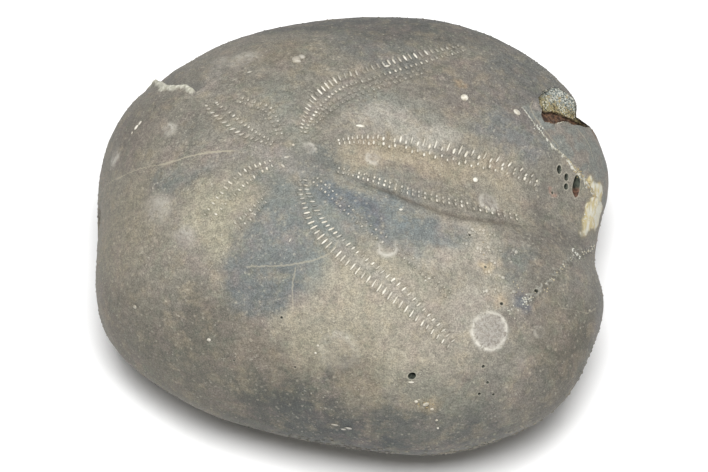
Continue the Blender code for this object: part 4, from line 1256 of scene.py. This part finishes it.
recipe = Recipe("tubercles")
ground_mesh = recipe.input("Test", "Geometry")
gap = recipe.input("Gap", "Float")
density = recipe.input("Density", "Float")
smallest = recipe.input("Smallest", "Float")
largest = recipe.input("Largest", "Float")
flatness = recipe.input("Flatness", "Float")
seed = recipe.input("Seed", "Int")
material = recipe.input("Finish", "Material")
sockets = {
    "Mesh": ground_mesh,
    "Distance Min": gap,
    "Density Max": density,
    "Density Factor": recipe.field("tubercles", "FLOAT"),
    "Seed": seed,
}
scatter = recipe.node("GeometryNodeDistributePointsOnFaces", {"distribute_method": "POISSON"}, sockets).node
knob_shape = recipe.node("GeometryNodeMeshIcoSphere", {}, {"Radius": 0.5, "Subdivisions": 1})
knob_shape = recipe.node("GeometryNodeSetShadeSmooth", {}, {0: knob_shape})
wide = recipe.node("FunctionNodeRandomValue", {}, {2: smallest, 3: largest, "Seed": seed}, 1)
wide = recipe.node("ShaderNodeMath", {"operation": "MULTIPLY"}, {0: wide, 1: recipe.field("tubercle_size", "FLOAT")})
tall = recipe.node("ShaderNodeMath", {"operation": "MULTIPLY"}, {0: wide, 1: flatness})
size = recipe.node("ShaderNodeCombineXYZ", {}, {0: wide, 1: wide, 2: tall})
sockets = {
    "Points": scatter.outputs["Points"],
    "Instance": knob_shape,
    "Rotation": scatter.outputs["Rotation"],
    "Scale": size,
}
recipe.end(recipe.node("GeometryNodeInstanceOnPoints", {}, sockets), material)
values = {
    "Gap": TUBERCLE_GAP * MM,
    "Density": TUBERCLE_DENSITY / MM ** 2,
    "Smallest": TUBERCLE_SIZES[0] * MM,
    "Largest": TUBERCLE_SIZES[1] * MM,
    "Flatness": TUBERCLE_FLATNESS,
    "Seed": TUBERCLE_SEED,
    "Finish": tubercle_material,
}
tubercles = recipe.grown_on("tubercles", urchin.data, values)
print("tubercle faces", len(tubercles.data.polygons))

# ---------------------------------------------------------------------------------------------
# The stage: a white table, a broad soft light overhead and the camera.
# ---------------------------------------------------------------------------------------------
TABLE_SIZE = 4.0
CAMERA_PLACE = (14.5, -315.6, 531.29)
CAMERA_AIM = (0.44, -2.41, 19.7)
CAMERA_AZIMUTH = 2.57
CAMERA_ELEVATION = 58.5
LENS = 208.27
SENSOR = 36.0

table_mesh = bpy.data.meshes.new("table")
half = TABLE_SIZE / 2
table_mesh.from_pydata([(-half, -half, 0), (half, -half, 0), (half, half, 0), (-half, half, 0)], [], [(0, 1, 2, 3)])
table = bpy.data.objects.new("table", table_mesh)
bpy.context.scene.collection.objects.link(table)
finish = Finish("table_white")
speckle = finish.noise(finish.place(), 40.0)
table.data.materials.append(finish.surface(finish.mix(speckle, (0.9, 0.9, 0.9, 1), (0.88, 0.88, 0.88, 1)), 0.8))

world = bpy.data.worlds.new("studio")
world.use_nodes = True
backdrop = world.node_tree.nodes["Background"]
backdrop.inputs["Color"].default_value = (1, 1, 1, 1)
backdrop.inputs["Strength"].default_value = 0.16
bpy.context.scene.world = world

LIGHT_PLACE = Vector((0.015, -0.175, 0.82))
LIGHT_SIZE = 0.4
LIGHT_POWER = 10.9
lamp = bpy.data.lights.new("overhead_softbox", "AREA")
lamp.shape = "SQUARE"
lamp.size = LIGHT_SIZE
lamp.energy = LIGHT_POWER
softbox = bpy.data.objects.new("overhead_softbox", lamp)
softbox.location = LIGHT_PLACE
softbox.rotation_euler = (LIGHT_PLACE - Vector((0, 0, 0.02))).to_track_quat("Z", "Y").to_euler()
bpy.context.scene.collection.objects.link(softbox)

lens = bpy.data.cameras.new("camera")
lens.lens = LENS
lens.sensor_width = SENSOR
lens.sensor_fit = "HORIZONTAL"
lens.clip_start = 0.01
lens.clip_end = 20.0
camera = bpy.data.objects.new("camera", lens)
camera.location = Vector(CAMERA_PLACE) * MM
camera.rotation_euler = (math.radians(90 - CAMERA_ELEVATION), 0, math.radians(CAMERA_AZIMUTH))
bpy.context.scene.collection.objects.link(camera)
bpy.context.scene.camera = camera
bpy.context.scene.view_settings.view_transform = "Standard"
